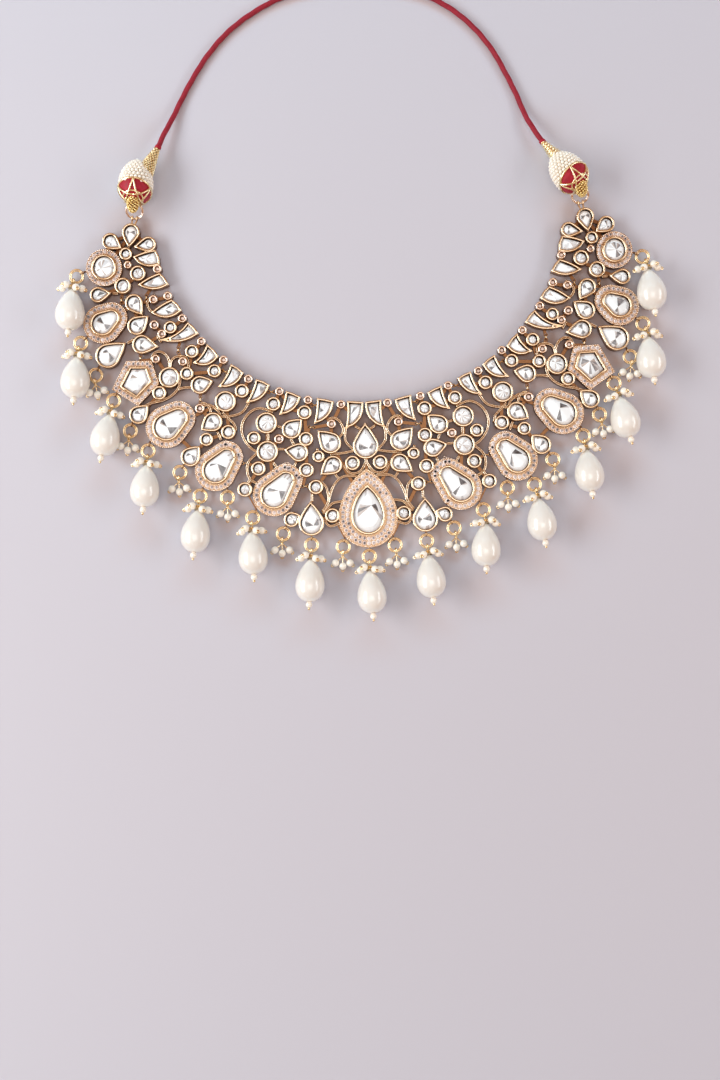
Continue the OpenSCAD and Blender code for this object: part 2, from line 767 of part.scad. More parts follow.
// Head pin through a pearl drop: loop, cap, a small pearl on each side and one at the end
module head_pin(row, place) {
    knot = eye_r + pin_wire / 2;
    pearl_end = pearl_from + pearl_l;
    end_bead = pearl_end + 0.43 * bead_w;
    pin_end = end_bead + 0.43 * bead_w + ball_w / 3;
    pin_loop(row, place);
    hung(row, place) {
        translate([0, 0, knot]) {
            sphere(d = 2 * pin_wire);
            cylinder(d = pin_wire, h = pin_end - knot);
        }
        translate([0, 0, eye_r + pin_wire / 2]) cylinder(d1 = 2 * pin_wire, d2 = bead_w, h = cap_l);
        translate([0, 0, end_bead]) sphere(d = 0.86 * bead_w);
        translate([0, 0, pin_end]) sphere(d = ball_w);
        for (side = [-1, 1])
            pinned_bead([0, 0, knot], [-0.2 * bead_w, 1.3 * side * bead_w, 0.62 * bead_w]);
    }
}

// Three small pearls on pins, fanned out on the ground under one loop
module bead_cluster(row, place) {
    turn = row[3] + layout_turn;
    knot = hang_place(row, place) + (eye_r + pin_wire / 2) * along(turn);
    pin_loop(row, place);
    translate(concat(knot, ring_z)) sphere(d = 2 * pin_wire);
    for (spread = [-fan, 0, fan])
        pinned_bead(
            concat(knot, ring_z),
            concat(knot + 1.28 * bead_w * along(turn + spread), bead_w / 2 + stone_gap)
        );
}

module jump_ring(row, place) {
    centre = place + ring_r * along(row[2] + layout_turn);
    translate([centre[0], centre[1], ring_z]) wire_ring(ring_r, ring_wire);
}

module side_pins() {
    color("goldenrod") for (row = DROPS) head_pin(row, at([row[0], row[1]]));
}

module side_clusters() {
    color("goldenrod") for (row = CLUSTERS) bead_cluster(row, at([row[0], row[1]]));
}

module side_rings() {
    color("gold") for (row = concat(DROPS, CLUSTERS)) jump_ring(row, at([row[0], row[1]]));
}

module side_links() {
    color("gold") for (row = LINKS) {
        place = at([row[0], row[1]]);
        translate([place[0], place[1], link_z])
            standing_ring(link_r, link_wire, row[2] + layout_turn);
    }
}

module side_pearl(index) {
    row = DROPS[index];
    pearl(row, at([row[0], row[1]]));
}

// Middle of the centre drop's eye
centre_drop_at = step * [CENTRE_DROP[0], CENTRE_DROP[1]];

module head_pins_left() {
    side_pins();
    color("goldenrod") head_pin(CENTRE_DROP, centre_drop_at);
}

module bead_clusters() {
    side_clusters();
    mirrored() side_clusters();
}

module jump_rings() {
    side_rings();
    mirrored() side_rings();
    color("gold") jump_ring(CENTRE_DROP, centre_drop_at);
}

module panel_links() {
    side_links();
    mirrored() side_links();
}

// The end panel's two eyes hold a hook ring, whose far side climbs into the cone's
// body. These are distances along the line from the eyes to the body.
hook_turn = HOOK_TURN + layout_turn;
hook_top_z = 0.46 * cone_w;
hook_tilt = asin((hook_top_z - end_eye_z) / (2 * hook_r));
hook_top_at = 2 * hook_r * cos(hook_tilt);
body_at = hook_top_at - 0.75;
knot_at = body_at + 1;
// Height of the knitted knot over the body's axis
knot_rise = 0.27 * cone_w;
// Where a tip starts inside its cone's body
tip_from = 0.76 * cone_l;
function end_line(distance, z) = concat(at(END_EYE) + distance * along(hook_turn), z);
function body_start(row, z) =
    end_line(body_at, z) + row[3] * concat(left_of(along(hook_turn)), 0);

// Two eyes of the end panel, side by side on the hook ring's curve, with their bars
module end_eyes() {
    side_step = 1.55 * pin_wire;
    dip = hook_r - sqrt(hook_r * hook_r - side_step * side_step);
    for (side = [-1, 1]) {
        place = at(END_EYE) + side * side_step * left_of(along(hook_turn))
            + dip * cos(hook_tilt) * along(hook_turn);
        translate(concat(place, end_eye_z + dip * sin(hook_tilt)))
            standing_ring(eye_r, pin_wire, hook_turn);
        bar(
            place - eye_r * along(hook_turn), nearest(place, centres(0)),
            pin_wire, end_eye_z - pin_wire / 2, pin_wire
        );
    }
}

// Ring that hangs in the end panel's eyes and climbs into the cone's body
module hook_ring(wire) {
    translate(end_line(hook_top_at / 2, (end_eye_z + hook_top_z) / 2))
        rotate([0, -hook_tilt, hook_turn]) wire_ring(hook_r, wire);
}

module end_hooks() {
    color("silver") {
        hook_ring(hook_wire);
        mirrored() hook_ring(hook_wire);
    }
}

// Beaded body with a tunnel for the hook ring, knitted knot on its end and braided tip
module cone(row) {
    color("crimson") difference() {
        union() {
            translate(end_line(knot_at, cone_w / 2 + knot_rise)) sphere(d = knot_w);
            translate(body_start(row, cone_w / 2)) rotate([0, 90, row[0] + layout_turn]) {
                rotate_extrude() polygon(concat(
                    [[0, 0]],
                    [for (p = CONE_PROFILE) [p[1] * cone_w / 2, p[0] * cone_l]],
                    [[0, cone_l]]
                ));
                translate([0, -row[1], tip_from]) rotate([row[2], TIP_SLOPE, 0])
                    cylinder(d1 = 0.5 * cone_w, d2 = 0.16 * cone_w, h = tip_l);
            }
        }
        hook_ring(hook_wire + 2 * link_gap);
    }
}

// Where a cone's tip ends and the cord starts
function tip_end(row) =
    let (turn = row[0] + layout_turn, ahead = tip_l * cos(row[2]))
    body_start(row, cone_w / 2 - ahead * sin(TIP_SLOPE))
        + concat((tip_from + ahead * cos(TIP_SLOPE)) * along(turn), 0)
        - concat((row[1] + tip_l * sin(row[2])) * left_of(along(turn)), 0);
right_end = tip_end(CONE_RIGHT);
cord_route = smooth(concat(
    [tip_end(CONE_LEFT)], CORD_ROUTE, [[-right_end[0], right_end[1], right_end[2]]]
), 2);

// Tube of n sides swept along a line in space
module tube(line, radius, n) {
    count = len(line);
    points = [
        for (i = [0:count - 1])
            let (
                way = heading(line, i),
                side = cross(way, [0, 0, 1]) / norm(cross(way, [0, 0, 1])),
                up = cross(side, way)
            )
            for (k = [0:n - 1])
                line[i] + radius * (cos(360 * k / n) * side + sin(360 * k / n) * up)
    ];
    faces = concat(
        [[for (k = [0:n - 1]) k]],
        [
            for (i = [0:count - 2], k = [0:n - 1])
                [i * n + k, (i + 1) * n + k, (i + 1) * n + (k + 1) % n, i * n + (k + 1) % n]
        ],
        [[for (k = [n - 1:-1:0]) (count - 1) * n + k]]
    );
    polyhedron(points, faces);
}

module cord() {
    color("darkred") tube(cord_route, cord_w / 2, 8);
}

side_panel(0);  // panel_left_1
side_panel(1);  // panel_left_2
side_panel(2);  // panel_left_3
side_panel(3);  // panel_left_4
side_panel(4);  // panel_left_5
centre_panel();  // panel_centre
mirrored() side_panel(0);  // panel_right_1
mirrored() side_panel(1);  // panel_right_2
mirrored() side_panel(2);  // panel_right_3
mirrored() side_panel(3);  // panel_right_4
mirrored() side_panel(4);  // panel_right_5
panel_stones(0);  // stones_left_1
panel_stones(1);  // stones_left_2
panel_stones(2);  // stones_left_3
panel_stones(3);  // stones_left_4
panel_stones(4);  // stones_left_5
centre_stones();  // stones_centre
mirrored() panel_stones(0);  // stones_right_1
mirrored() panel_stones(1);  // stones_right_2
mirrored() panel_stones(2);  // stones_right_3
mirrored() panel_stones(3);  // stones_right_4
mirrored() panel_stones(4);  // stones_right_5
main_stone(0);  // main_stone_left_1
main_stone(1);  // main_stone_left_2
main_stone(2);  // main_stone_left_3
main_stone(3);  // main_stone_left_4
main_stone(4);  // main_stone_left_5
main_stone(5);  // main_stone_left_6
centre_main_stone();  // main_stone_centre
mirrored() main_stone(0);  // main_stone_right_1
mirrored() main_stone(1);  // main_stone_right_2
mirrored() main_stone(2);  // main_stone_right_3
mirrored() main_stone(3);  // main_stone_right_4
mirrored() main_stone(4);  // main_stone_right_5
mirrored() main_stone(5);  // main_stone_right_6
side_pearl(0);  // pearl_left_1
side_pearl(1);  // pearl_left_2
side_pearl(2);  // pearl_left_3
side_pearl(3);  // pearl_left_4
side_pearl(4);  // pearl_left_5
side_pearl(5);  // pearl_left_6
side_pearl(6);  // pearl_left_7
pearl(CENTRE_DROP, centre_drop_at);  // pearl_centre
mirrored() side_pearl(0);  // pearl_right_1
mirrored() side_pearl(1);  // pearl_right_2
mirrored() side_pearl(2);  // pearl_right_3
mirrored() side_pearl(3);  // pearl_right_4
mirrored() side_pearl(4);  // pearl_right_5
mirrored() side_pearl(5);  // pearl_right_6
mirrored() side_pearl(6);  // pearl_right_7
head_pins_left();
mirrored() side_pins();  // head_pins_right
bead_clusters();
jump_rings();
panel_links();
end_hooks();
cone(CONE_LEFT);  // cone_left
mirrored() cone(CONE_RIGHT);  // cone_right
cord();  // neck_cord
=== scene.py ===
"""Looks of a bridal collar of set stones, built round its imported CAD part.

Everything is in metres in the part's frame: +X to the right, +Y from the pearl drops to
the neck, +Z up. The left half is made from tables and mirrored for the right half.
"""
from __future__ import annotations

import logging
import math
from dataclasses import dataclass, field
from enum import Enum
from typing import Any, Sequence

import bpy
import numpy as np
from mathutils import Matrix, Vector


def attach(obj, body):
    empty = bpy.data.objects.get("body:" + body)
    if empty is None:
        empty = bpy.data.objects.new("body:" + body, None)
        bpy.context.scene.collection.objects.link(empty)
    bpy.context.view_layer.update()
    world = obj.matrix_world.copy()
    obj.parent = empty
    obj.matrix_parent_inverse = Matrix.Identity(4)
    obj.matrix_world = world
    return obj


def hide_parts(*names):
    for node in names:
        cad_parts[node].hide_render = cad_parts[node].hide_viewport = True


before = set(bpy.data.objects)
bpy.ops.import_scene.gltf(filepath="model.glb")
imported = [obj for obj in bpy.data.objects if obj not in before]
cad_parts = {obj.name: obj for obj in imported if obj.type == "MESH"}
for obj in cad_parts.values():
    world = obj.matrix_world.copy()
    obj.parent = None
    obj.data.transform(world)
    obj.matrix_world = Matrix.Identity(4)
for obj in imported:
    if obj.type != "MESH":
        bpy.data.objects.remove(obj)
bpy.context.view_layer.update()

LOG = logging.getLogger("collar")
MM = 0.001
Array = np.ndarray
# Rows of axes that turn nothing
UPRIGHT = np.eye(3)

# Layout tables count in steps of 0.3 mm from the centre medallion and are turned by
# LAYOUT_TURN, as in the part's own source.
STEP = 0.3 * MM
LAYOUT_TURN = math.radians(-2)

# Sizes that the looks share with the solids
BEZEL_TOP = 3.0 * MM
BEZEL_T = 0.5 * MM
STONE_GAP = 0.17 * MM
HALO_TOP = 2.3 * MM
SCROLL_TOP = 2.0 * MM
RING_R = 2.05 * MM
RING_Z = 1.6 * MM
EYE_R = 0.65 * MM
PIN_WIRE = 0.44 * MM
PEARL_W = 8.8 * MM
PEARL_L = 13.6 * MM
BEAD_W = 2.3 * MM
CAP_L = 0.9 * MM
FAN = math.radians(48)
CONE_W = 10.7 * MM
CONE_L = 13.5 * MM
KNOT_W = 3.9 * MM
TIP_L = 9.0 * MM
CORD_W = 1.6 * MM

# [u, v, width] of the settings whose stones are too small for the CAD
TINY_SEATS = [
    [-240, 245, 2.34], [-210.5, 241, 2.6], [-214.5, 210.5, 2.6], [-206, 176, 2.6],
    [-213.5, 185, 2.78], [-200, 214, 2.6], [-185.5, 191.5, 2.6], [-212, 151, 2.6],
    [-185, 148.5, 2.7], [-166.5, 168.5, 2.6], [-144.5, 150, 2.6], [-168, 101.5, 2.86],
    [-119.5, 131, 2.6], [-89, 71, 2.86], [-88.5, 118.5, 2.6], [-60, 110, 2.6],
    [-36.5, 86, 2.7], [-27, 105.5, 2.6],
]
# Scroll wires by their points
SCROLLS = [
    [[-256, 217], [-250, 217]],
    [[-213, 215], [-219, 211], [-221, 206], [-218, 200], [-213, 198]],
    [[-211, 175], [-207, 168]],
    [[-241, 167], [-234, 171]],
    [[-217, 150], [-214, 157], [-208, 158.5], [-202, 155], [-199, 149], [-198.5, 142]],
    [[-198, 142], [-197, 149], [-193, 153], [-186, 154], [-181, 151], [-179.5, 142]],
    [[-189, 138], [-188, 130], [-190, 122], [-196, 115], [-205, 110], [-217, 107], [-226, 103]],
    [[-190, 121], [-184, 122.5], [-175, 123]],
    [[-146, 98], [-139, 91], [-134, 86], [-132, 79]],
    [[-168, 105], [-164, 107], [-159, 103], [-157, 96]],
    [[-119, 108], [-125, 99], [-133, 95], [-146, 93.5], [-150, 99], [-158, 105], [-166, 104]],
    [[-151, 79], [-147, 70]],
    [[-95, 98], [-108, 102], [-118, 98], [-125, 89], [-126.5, 79], [-123, 69], [-116, 61],
     [-108, 57]],
    [[-111, 57], [-119, 49], [-121, 40], [-118, 31], [-108, 25]],
    [[-118, 31], [-123, 22]],
    [[-91, 84], [-84, 82]],
    [[-100, 78], [-100, 68]],
    [[-91, 61], [-83, 61]],
    [[-78, 73], [-74, 65]],
    [[-95, 48], [-91, 42]],
    [[-72, 48], [-75, 40]],
    [[-40, 88], [-37, 92], [-31, 91], [-26, 85], [-25, 78], [-32, 69]],
    [[-22, 84], [-23, 73], [-21, 67], [-13, 59]],
    [[-38, 56], [-26, 57], [-11, 60]],
    [[-13, 84], [-6, 80]],
    [[-25, 46], [-19, 38], [-12, 37], [-6, 41], [0, 53]],
    [[-11, 34], [-23, 34], [-30, 30], [-35, 23], [-38, 15], [-40, 7], [-46, -2]],
    [[-48, 29], [-42, 23], [-39.5, 13], [-40, 7]],
    [[-25, 9], [-35, 7], [-40, 2], [-45, -4]],
    [[-43, -9], [-41, -14], [-36, -16], [-26, -12]],
    [[-33, 36], [-29, 31]],
    [[-56, 17], [-56, 8]],
    [[-51, 62], [-49, 56]],
    [[-69, -8], [-75, -9]],
]
# [u, v, turn of the jump ring, turn of what it carries] in degrees
DROPS = [
    [-286, 237.5, -150, -92], [-283, 172, -135, -91.5], [-252.5, 116, -110, -99],
    [-219, 66, -101, -92], [-166, 20.5, -108, -94], [-112.5, -1.5, -115, -86],
    [-56.5, -28, -90, -92],
]
CENTRE_DROP = [0, -39.5, -90, -86]
CLUSTERS = [
    [-270.5, 141.5, -110, -80], [-236.5, 86, -104, -97], [-185.5, 44, -115, -87],
    [-141, 19.5, -88, -90], [-82.5, -17.5, -110, -90], [-23.5, -30, -100, -90],
]
# Width of the pavé plate of each main setting, in millimetres
HALO_WIDTHS = [1.67, 2.2, 1.87, 2.07, 2.13, 2.2]
# Cord from the left cone's tip to the right one's, in millimetres, as in the part
CORD_ROUTE = [
    [-57, 115.2, 2.6], [-54.5, 120, 1.5], [-51.5, 126, 0.9], [-48, 132, 0.9],
    [-43.5, 138.5, 0.9], [-37.5, 145, 0.9], [-30, 150.5, 0.9], [-21, 155, 0.9],
    [-11, 157.5, 0.9], [0, 158.5, 0.9], [11, 157.5, 0.9], [21, 155, 0.9],
    [29.5, 150.5, 0.9], [36.5, 144.5, 0.9], [42, 137.5, 0.9], [46, 130, 0.9],
    [49, 123.5, 0.9], [51, 118, 1.4], [53, 113.5, 2.5],
]
CONE_PROFILE = [
    [0, 0.3], [0.03, 0.47], [0.08, 0.65], [0.15, 0.81], [0.24, 0.93], [0.34, 0.99],
    [0.42, 1], [0.54, 0.98], [0.66, 0.91], [0.76, 0.8], [0.86, 0.62], [0.94, 0.4], [1, 0.12],
]


class Side(Enum):
    """Half of the collar that a shape belongs to."""

    LEFT = 1
    RIGHT = -1


def along(turn: float) -> Array:
    """Unit vector (cos turn, sin turn) for a turn in radians."""
    return np.array([math.cos(turn), math.sin(turn)])


def at(u: float, v: float) -> Array:
    """Layout point in metres: STEP * (u, v) turned by LAYOUT_TURN."""
    c, s = math.cos(LAYOUT_TURN), math.sin(LAYOUT_TURN)
    return STEP * np.array([u * c - v * s, u * s + v * c])


def turned(degrees: float) -> float:
    """Turn in radians of a turn that a layout table gives in degrees."""
    return math.radians(degrees) + LAYOUT_TURN


def polar(radius: float | Array, turn: Array, height: float | Array) -> Array:
    """Places (radius cos turn, radius sin turn, height)."""
    return np.stack([radius * np.cos(turn), radius * np.sin(turn), height + 0 * turn], -1)


def raised(flat: Array, height: float) -> Array:
    """Flat places lifted to one height."""
    return np.column_stack([flat, np.full(len(flat), height)])


def distances(line: Array) -> Array:
    """How far each point of a line lies from its first one, measured along it."""
    return np.concatenate([[0], np.cumsum(np.linalg.norm(np.diff(line, axis=0), axis=1))])


@dataclass
class Form:
    """Closed surface of triangles and quads with one number for each face, which the stones use
    for the painted reflections of their facets.

    Args:
        points: n by 3 places.
        quads: m by 4 point numbers, counter-clockwise from outside.
        tris: k by 3 point numbers, counter-clockwise from outside.
        tones: m + k numbers that a finish may read as the attribute tone; on the stones they are
            painted reflections.
    """

    points: Array
    quads: Array
    tris: Array
    tones: Array

    @staticmethod
    def of(points: Array, quads: Array, tris: Array) -> Form:
        """Form whose tones are all 0."""
        quads = np.asarray(quads, int).reshape(-1, 4)
        tris = np.asarray(tris, int).reshape(-1, 3)
        return Form(np.asarray(points, float), quads, tris, np.zeros(len(quads) + len(tris)))

    @staticmethod
    def joined(forms: Sequence[Form]) -> Form:
        """One form of several: each one's point numbers rise by the points before it."""
        starts = np.cumsum([0] + [len(f.points) for f in forms[:-1]])
        quads = [f.quads + s for f, s in zip(forms, starts)]
        tris = [f.tris + s for f, s in zip(forms, starts)]
        tones = [f.tones[:len(f.quads)] for f in forms] + [f.tones[len(f.quads):] for f in forms]
        return Form(np.concatenate([f.points for f in forms]), np.concatenate(quads),
                    np.concatenate(tris), np.concatenate(tones))

    def on(self, side: Side) -> Form:
        """This form, or for the right side its mirror image in X with the faces turned back."""
        if side is Side.LEFT:
            return self
        return Form(self.points * [-1, 1, 1], self.quads[:, ::-1], self.tris[:, ::-1], self.tones)

    def both_sides(self) -> Form:
        """This form and its mirror image in X."""
        return Form.joined([self, self.on(Side.RIGHT)])

    def placed(self, axes: Array, place: Array) -> Form:
        """Points p become place + p[0] * axes[0] + p[1] * axes[1] + p[2] * axes[2]."""
        return Form(self.points @ np.asarray(axes) + place, self.quads, self.tris, self.tones)

    def moved(self, place: Array) -> Form:
        """Points p become place + p."""
        return self.placed(UPRIGHT, place)

    def scattered(self, places: Array, axes: Array = UPRIGHT, tones: Array | None = None) -> Form:
        """Copies of this form.

        Args:
            places: n by 3 places.
            axes: n by 3 by 3, or one 3 by 3 for all, rows as in placed, sizes in them.
            tones: n numbers that are added to the copies' tones.
        Returns:
            One form: copy i has the points places[i] + points @ axes[i].
        """
        n, p = len(places), len(self.points)
        axes = np.broadcast_to(axes, (n, 3, 3))
        points = np.einsum("pk,nkj->npj", self.points, axes) + places[:, None, :]
        shift = (np.arange(n) * p)[:, None, None]
        more = np.zeros(n) if tones is None else tones
        quad_tones = (self.tones[None, :len(self.quads)] + more[:, None]).ravel()
        tri_tones = (self.tones[None, len(self.quads):] + more[:, None]).ravel()
        return Form(points.reshape(-1, 3), (self.quads[None] + shift).reshape(-1, 4),
                    (self.tris[None] + shift).reshape(-1, 3),
                    np.concatenate([quad_tones, tri_tones]))


def stacked(rings: Array) -> Form:
    """Closed form through rings of points, from the lowest ring up.

    Args:
        rings: r by k by 3, each ring counter-clockwise seen from above.
    Returns:
        Quads between neighbouring rings and a fan of triangles to the middle of the first
        and of the last ring.
    """
    r, k = rings.shape[:2]
    i, j = np.meshgrid(np.arange(r - 1), np.arange(k), indexing="ij")
    n = (j + 1) % k
    quads = np.stack([i * k + j, i * k + n, (i + 1) * k + n, (i + 1) * k + j], -1).reshape(-1, 4)
    points = np.concatenate([rings.reshape(-1, 3), rings[[0, -1]].mean(axis=1)])
    j = np.arange(k)
    n = (j + 1) % k
    low = np.stack([n, j, np.full(k, r * k)], -1)
    high = np.stack([(r - 1) * k + j, (r - 1) * k + n, np.full(k, r * k + 1)], -1)
    return Form.of(points, quads, np.concatenate([low, high]))


def looped(rings: Array) -> Form:
    """Quads between neighbouring rings of k by m points, and from the last to the first."""
    k, m = rings.shape[:2]
    i, j = np.meshgrid(np.arange(k), np.arange(m), indexing="ij")
    i2, j2 = (i + 1) % k, (j + 1) % m
    quads = np.stack([i * m + j, i * m + j2, i2 * m + j2, i2 * m + j], -1).reshape(-1, 4)
    return Form.of(rings.reshape(-1, 3), quads, [])


def revolved(profile: Array, sides: int) -> Form:
    """Surface of revolution about Z.

    Args:
        profile: r by 2 pairs (radius, height) from the lowest to the highest.
        sides: points round each ring.
    Returns:
        Points (radius cos a, radius sin a, height) with both ends closed.
    """
    circle = polar(1.0, 2 * math.pi * np.arange(sides) / sides, 0.0)
    profile = np.asarray(profile, float)
    return stacked(profile[:, None, :1] * circle + np.array([0, 0, 1]) * profile[:, 1:, None])


def ball(radius: float, sides: int, levels: int) -> Form:
    """Sphere: radius (sin t, -cos t) revolved, t from near 0 to near 180 degrees."""
    t = np.linspace(0, math.pi, levels + 1)[1:-1]
    return revolved(radius * np.stack([np.sin(t), -np.cos(t)], -1), sides)


def unit(vectors: Array) -> Array:
    """Vectors divided by their lengths."""
    return vectors / np.maximum(np.linalg.norm(vectors, axis=-1, keepdims=True), 1e-12)


def smooth_line(points: Array, steps: int, closed: bool = False, corner: float = 50) -> Array:
    """Hermite line through points that keeps sharp corners.

    Between p and q with tangents a and b it is h(t) = (2t^3 - 3t^2 + 1) p + (t^3 - 2t^2 + t) a
    + (3t^2 - 2t^3) q + (t^3 - t^2) b. A tangent is half the step from the point before to the
    one after, and at a corner or an open end it is the step of the segment itself.

    Args:
        points: k by 2 or 3.
        steps: points for each segment.
        closed: whether the last point leads back to the first.
        corner: turn in degrees from which a point is a corner.
    Returns:
        The points of the line, without the first one again at the end of a closed one.
    """
    points = np.asarray(points, float)
    before = points - np.roll(points, 1, axis=0)
    after = np.roll(points, -1, axis=0) - points
    cosine = (unit(before) * unit(after)).sum(axis=1)
    sharp = cosine < math.cos(math.radians(corner))
    if not closed:
        sharp[[0, -1]] = True
    middle = (before + after) / 2
    leave = np.where(sharp[:, None], after, middle)
    reach = np.where(sharp[:, None], before, middle)
    p, q = points, np.roll(points, -1, axis=0)
    a, b = leave, np.roll(reach, -1, axis=0)
    if not closed:
        p, q, a, b = p[:-1], q[:-1], a[:-1], b[:-1]
    t = (np.arange(steps) / steps)[None, :, None]
    line = ((2 * t**3 - 3 * t**2 + 1) * p[:, None] + (t**3 - 2 * t**2 + t) * a[:, None]
            + (3 * t**2 - 2 * t**3) * q[:, None] + (t**3 - t**2) * b[:, None])
    line = line.reshape(-1, points.shape[1])
    return line if closed else np.concatenate([line, points[-1:]])


def outward(line: Array, closed: bool = True) -> Array:
    """Unit normals to the right of a flat line, which is outwards on a counter-clockwise one."""
    if closed:
        way = np.roll(line, -1, axis=0) - np.roll(line, 1, axis=0)
    else:
        way = np.gradient(line, axis=0)
    way = unit(way)
    return np.stack([way[:, 1], -way[:, 0]], -1)


def grown(outline: Array, e: float) -> Array:
    """Closed outline moved outwards by e, with each corner on the bisector of its sides."""
    before = unit(outline - np.roll(outline, 1, axis=0))
    after = unit(np.roll(outline, -1, axis=0) - outline)
    a = np.stack([before[:, 1], -before[:, 0]], -1)
    b = np.stack([after[:, 1], -after[:, 0]], -1)
    return outline + e * (a + b) / (1 + np.maximum((a * b).sum(axis=1, keepdims=True), -0.4))


def moulding(line: Array, profile: Array, closed: bool = True, lip: Array | None = None) -> Form:
    """Closed profile carried along a flat line.

    Args:
        line: k by 2 places.
        profile: m by 2 pairs (out, up), counter-clockwise seen against the line's way.
        closed: whether the line is closed.
        lip: k lengths by which the profile's inner edge reaches further in.
    Returns:
        Points line[i] + out * normal[i], raised by up; open ends are closed with a fan.
    """
    line, profile = np.asarray(line), np.asarray(profile)
    normal = outward(line, closed)
    out = np.broadcast_to(profile[None, :, 0], (len(line), len(profile)))
    if lip is not None:
        out = out - lip[:, None] * (out < 0) * np.abs(out) / np.abs(profile[:, 0]).max()
    flat = line[:, None, :] + out[..., None] * normal[:, None, :]
    up = np.broadcast_to(profile[None, :, 1:], flat.shape[:2] + (1,))
    rings = np.concatenate([flat, up], -1)
    return looped(rings) if closed else stacked(rings)


def tube(path: Array, radius: float | Array, sides: int, closed: bool = False) -> Form:
    """Round wire along a path in space.

    Args:
        path: k by 3 places.
        radius: one radius, or one for each place, or k by sides of them.
        sides: points round the wire.
        closed: whether the path is closed.
    Returns:
        Points path[i] + radius (cos a side + sin a up), with side = way x Z and
        up = side x way.
    """
    path = np.asarray(path, float)
    if closed:
        way = unit(np.roll(path, -1, axis=0) - np.roll(path, 1, axis=0))
    else:
        way = unit(np.gradient(path, axis=0))
    pole = np.where(np.abs(way[:, 2:]).max() > 0.98, [[0.0, 1.0, 0.0]], [[0.0, 0.0, 1.0]])
    side = unit(np.cross(way, pole))
    up = np.cross(side, way)
    a = 2 * math.pi * np.arange(sides) / sides
    if np.ndim(radius) < 2:
        radius = np.reshape(radius, (-1, 1))
    reach = np.broadcast_to(radius, (len(path), sides))[..., None]
    rings = path[:, None] + reach * (
        np.cos(a)[None, :, None] * side[:, None] + np.sin(a)[None, :, None] * up[:, None])
    return looped(rings) if closed else stacked(rings)


def hoop(radius: float, wire: float, turns: int = 16, sides: int = 6) -> Form:
    """Ring about Z: a tube of diameter wire along a circle of the radius."""
    circle = polar(radius, 2 * math.pi * np.arange(turns) / turns, 0.0)
    return tube(circle, wire / 2, sides, closed=True)


def axes_to(way: Array, up: Sequence[float] = (0, 0, 1)) -> Array:
    """Rows for placed that lay Z along a way: X = way x up and Y = way x X."""
    z = unit(np.asarray(way, float))
    x = unit(np.cross(np.broadcast_to(up, z.shape), z))
    return np.stack([x, np.cross(z, x), z], -2)


class Socket:
    """Output of a node. Operators between it and numbers or sockets add Math nodes."""

    def __init__(self, shader: Shader, source: Any) -> None:
        """Keeps the shader and the node's output socket."""
        self.shader = shader
        self.source = source

    def _math(self, operation: str, *values: Any) -> Socket:
        """Math node of the operation on the values in their order."""
        return self.shader.node("ShaderNodeMath", {"operation": operation}, dict(enumerate(values)))

    def __add__(self, other: Any) -> Socket:
        """self + other."""
        return self._math("ADD", self, other)

    __radd__ = __add__

    def __mul__(self, other: Any) -> Socket:
        """self * other."""
        return self._math("MULTIPLY", self, other)

    __rmul__ = __mul__

    def __sub__(self, other: Any) -> Socket:
        """self - other."""
        return self._math("SUBTRACT", self, other)

    def __rsub__(self, other: Any) -> Socket:
        """other - self."""
        return self._math("SUBTRACT", other, self)


class Shader:
    """Builds the nodes of one material."""

    def __init__(self, name: str) -> None:
        """Starts an empty material of that name."""
        self.material = bpy.data.materials.new(name)
        self.material.use_nodes = True
        self.tree = self.material.node_tree
        self.tree.nodes.clear()

    def node(self, kind: str, settings: dict | None = None, inputs: dict | None = None,
             output: int | str = 0) -> Socket:
        """Adds a node.

        Args:
            kind: the node's type.
            settings: its properties; ramp holds pairs of a position and a colour.
            inputs: values or sockets by the input's name or number.
            output: name or number of the output that is returned.
        Returns:
            That output.
        """
        node = self.tree.nodes.new(kind)
        for key, value in (settings or {}).items():
            if key == "ramp":
                elements = node.color_ramp.elements
                while len(elements) < len(value):
                    elements.new(1.0)
                for element, (position, colour) in zip(elements, value):
                    element.position = position
                    element.color = (*colour, 1.0)
            else:
                setattr(node, key, value)
        for key, value in (inputs or {}).items():
            if isinstance(value, Socket):
                self.tree.links.new(value.source, node.inputs[key])
            else:
                node.inputs[key].default_value = value
        return Socket(self, node.outputs[output])

    def place(self) -> Socket:
        """Object coordinates."""
        return self.node("ShaderNodeTexCoord", output="Object")

    def noise(self, scale: float, detail: float = 2.0, distortion: float = 0.0) -> Socket:
        """Noise from 0 to 1 on Object coordinates, with scale features a metre."""
        return self.node("ShaderNodeTexNoise", {}, {
            "Vector": self.place(), "Scale": scale, "Detail": detail, "Distortion": distortion,
        })

    def attribute(self, name: str) -> Socket:
        """Number that the mesh carries under a name."""
        return self.node("ShaderNodeAttribute", {"attribute_name": name}, output="Fac")

    def ramp(self, factor: Socket, stops: Sequence[tuple[float, tuple]]) -> Socket:
        """Colour from stops."""
        return self.node("ShaderNodeValToRGB", {"ramp": stops}, {0: factor})

    def mix(self, factor: Any, low: Any, high: Any) -> Socket:
        """Colour low where the factor is 0 and high where it is 1."""
        low, high = [(*c, 1.0) if isinstance(c, tuple) else c for c in (low, high)]
        return self.node("ShaderNodeMix", {"data_type": "RGBA"}, {0: factor, 6: low, 7: high},
                         output=2)

    def bump(self, height: Socket, depth: float, strength: float = 1.0) -> Socket:
        """Normal of a surface whose height varies by depth metres."""
        return self.node("ShaderNodeBump", {}, {"Height": height, "Distance": depth,
                                                "Strength": strength})

    def finish(self, values: dict) -> bpy.types.Material:
        """Ends in a Principled BSDF with these inputs and returns the material."""
        values = {k: (*v, 1.0) if isinstance(v, tuple) else v for k, v in values.items()}
        surface = self.node("ShaderNodeBsdfPrincipled", {}, values)
        self.node_output(surface)
        return self.material

    def node_output(self, surface: Socket) -> None:
        """Links a surface to the material's output."""
        output = self.tree.nodes.new("ShaderNodeOutputMaterial")
        self.tree.links.new(surface.source, output.inputs["Surface"])


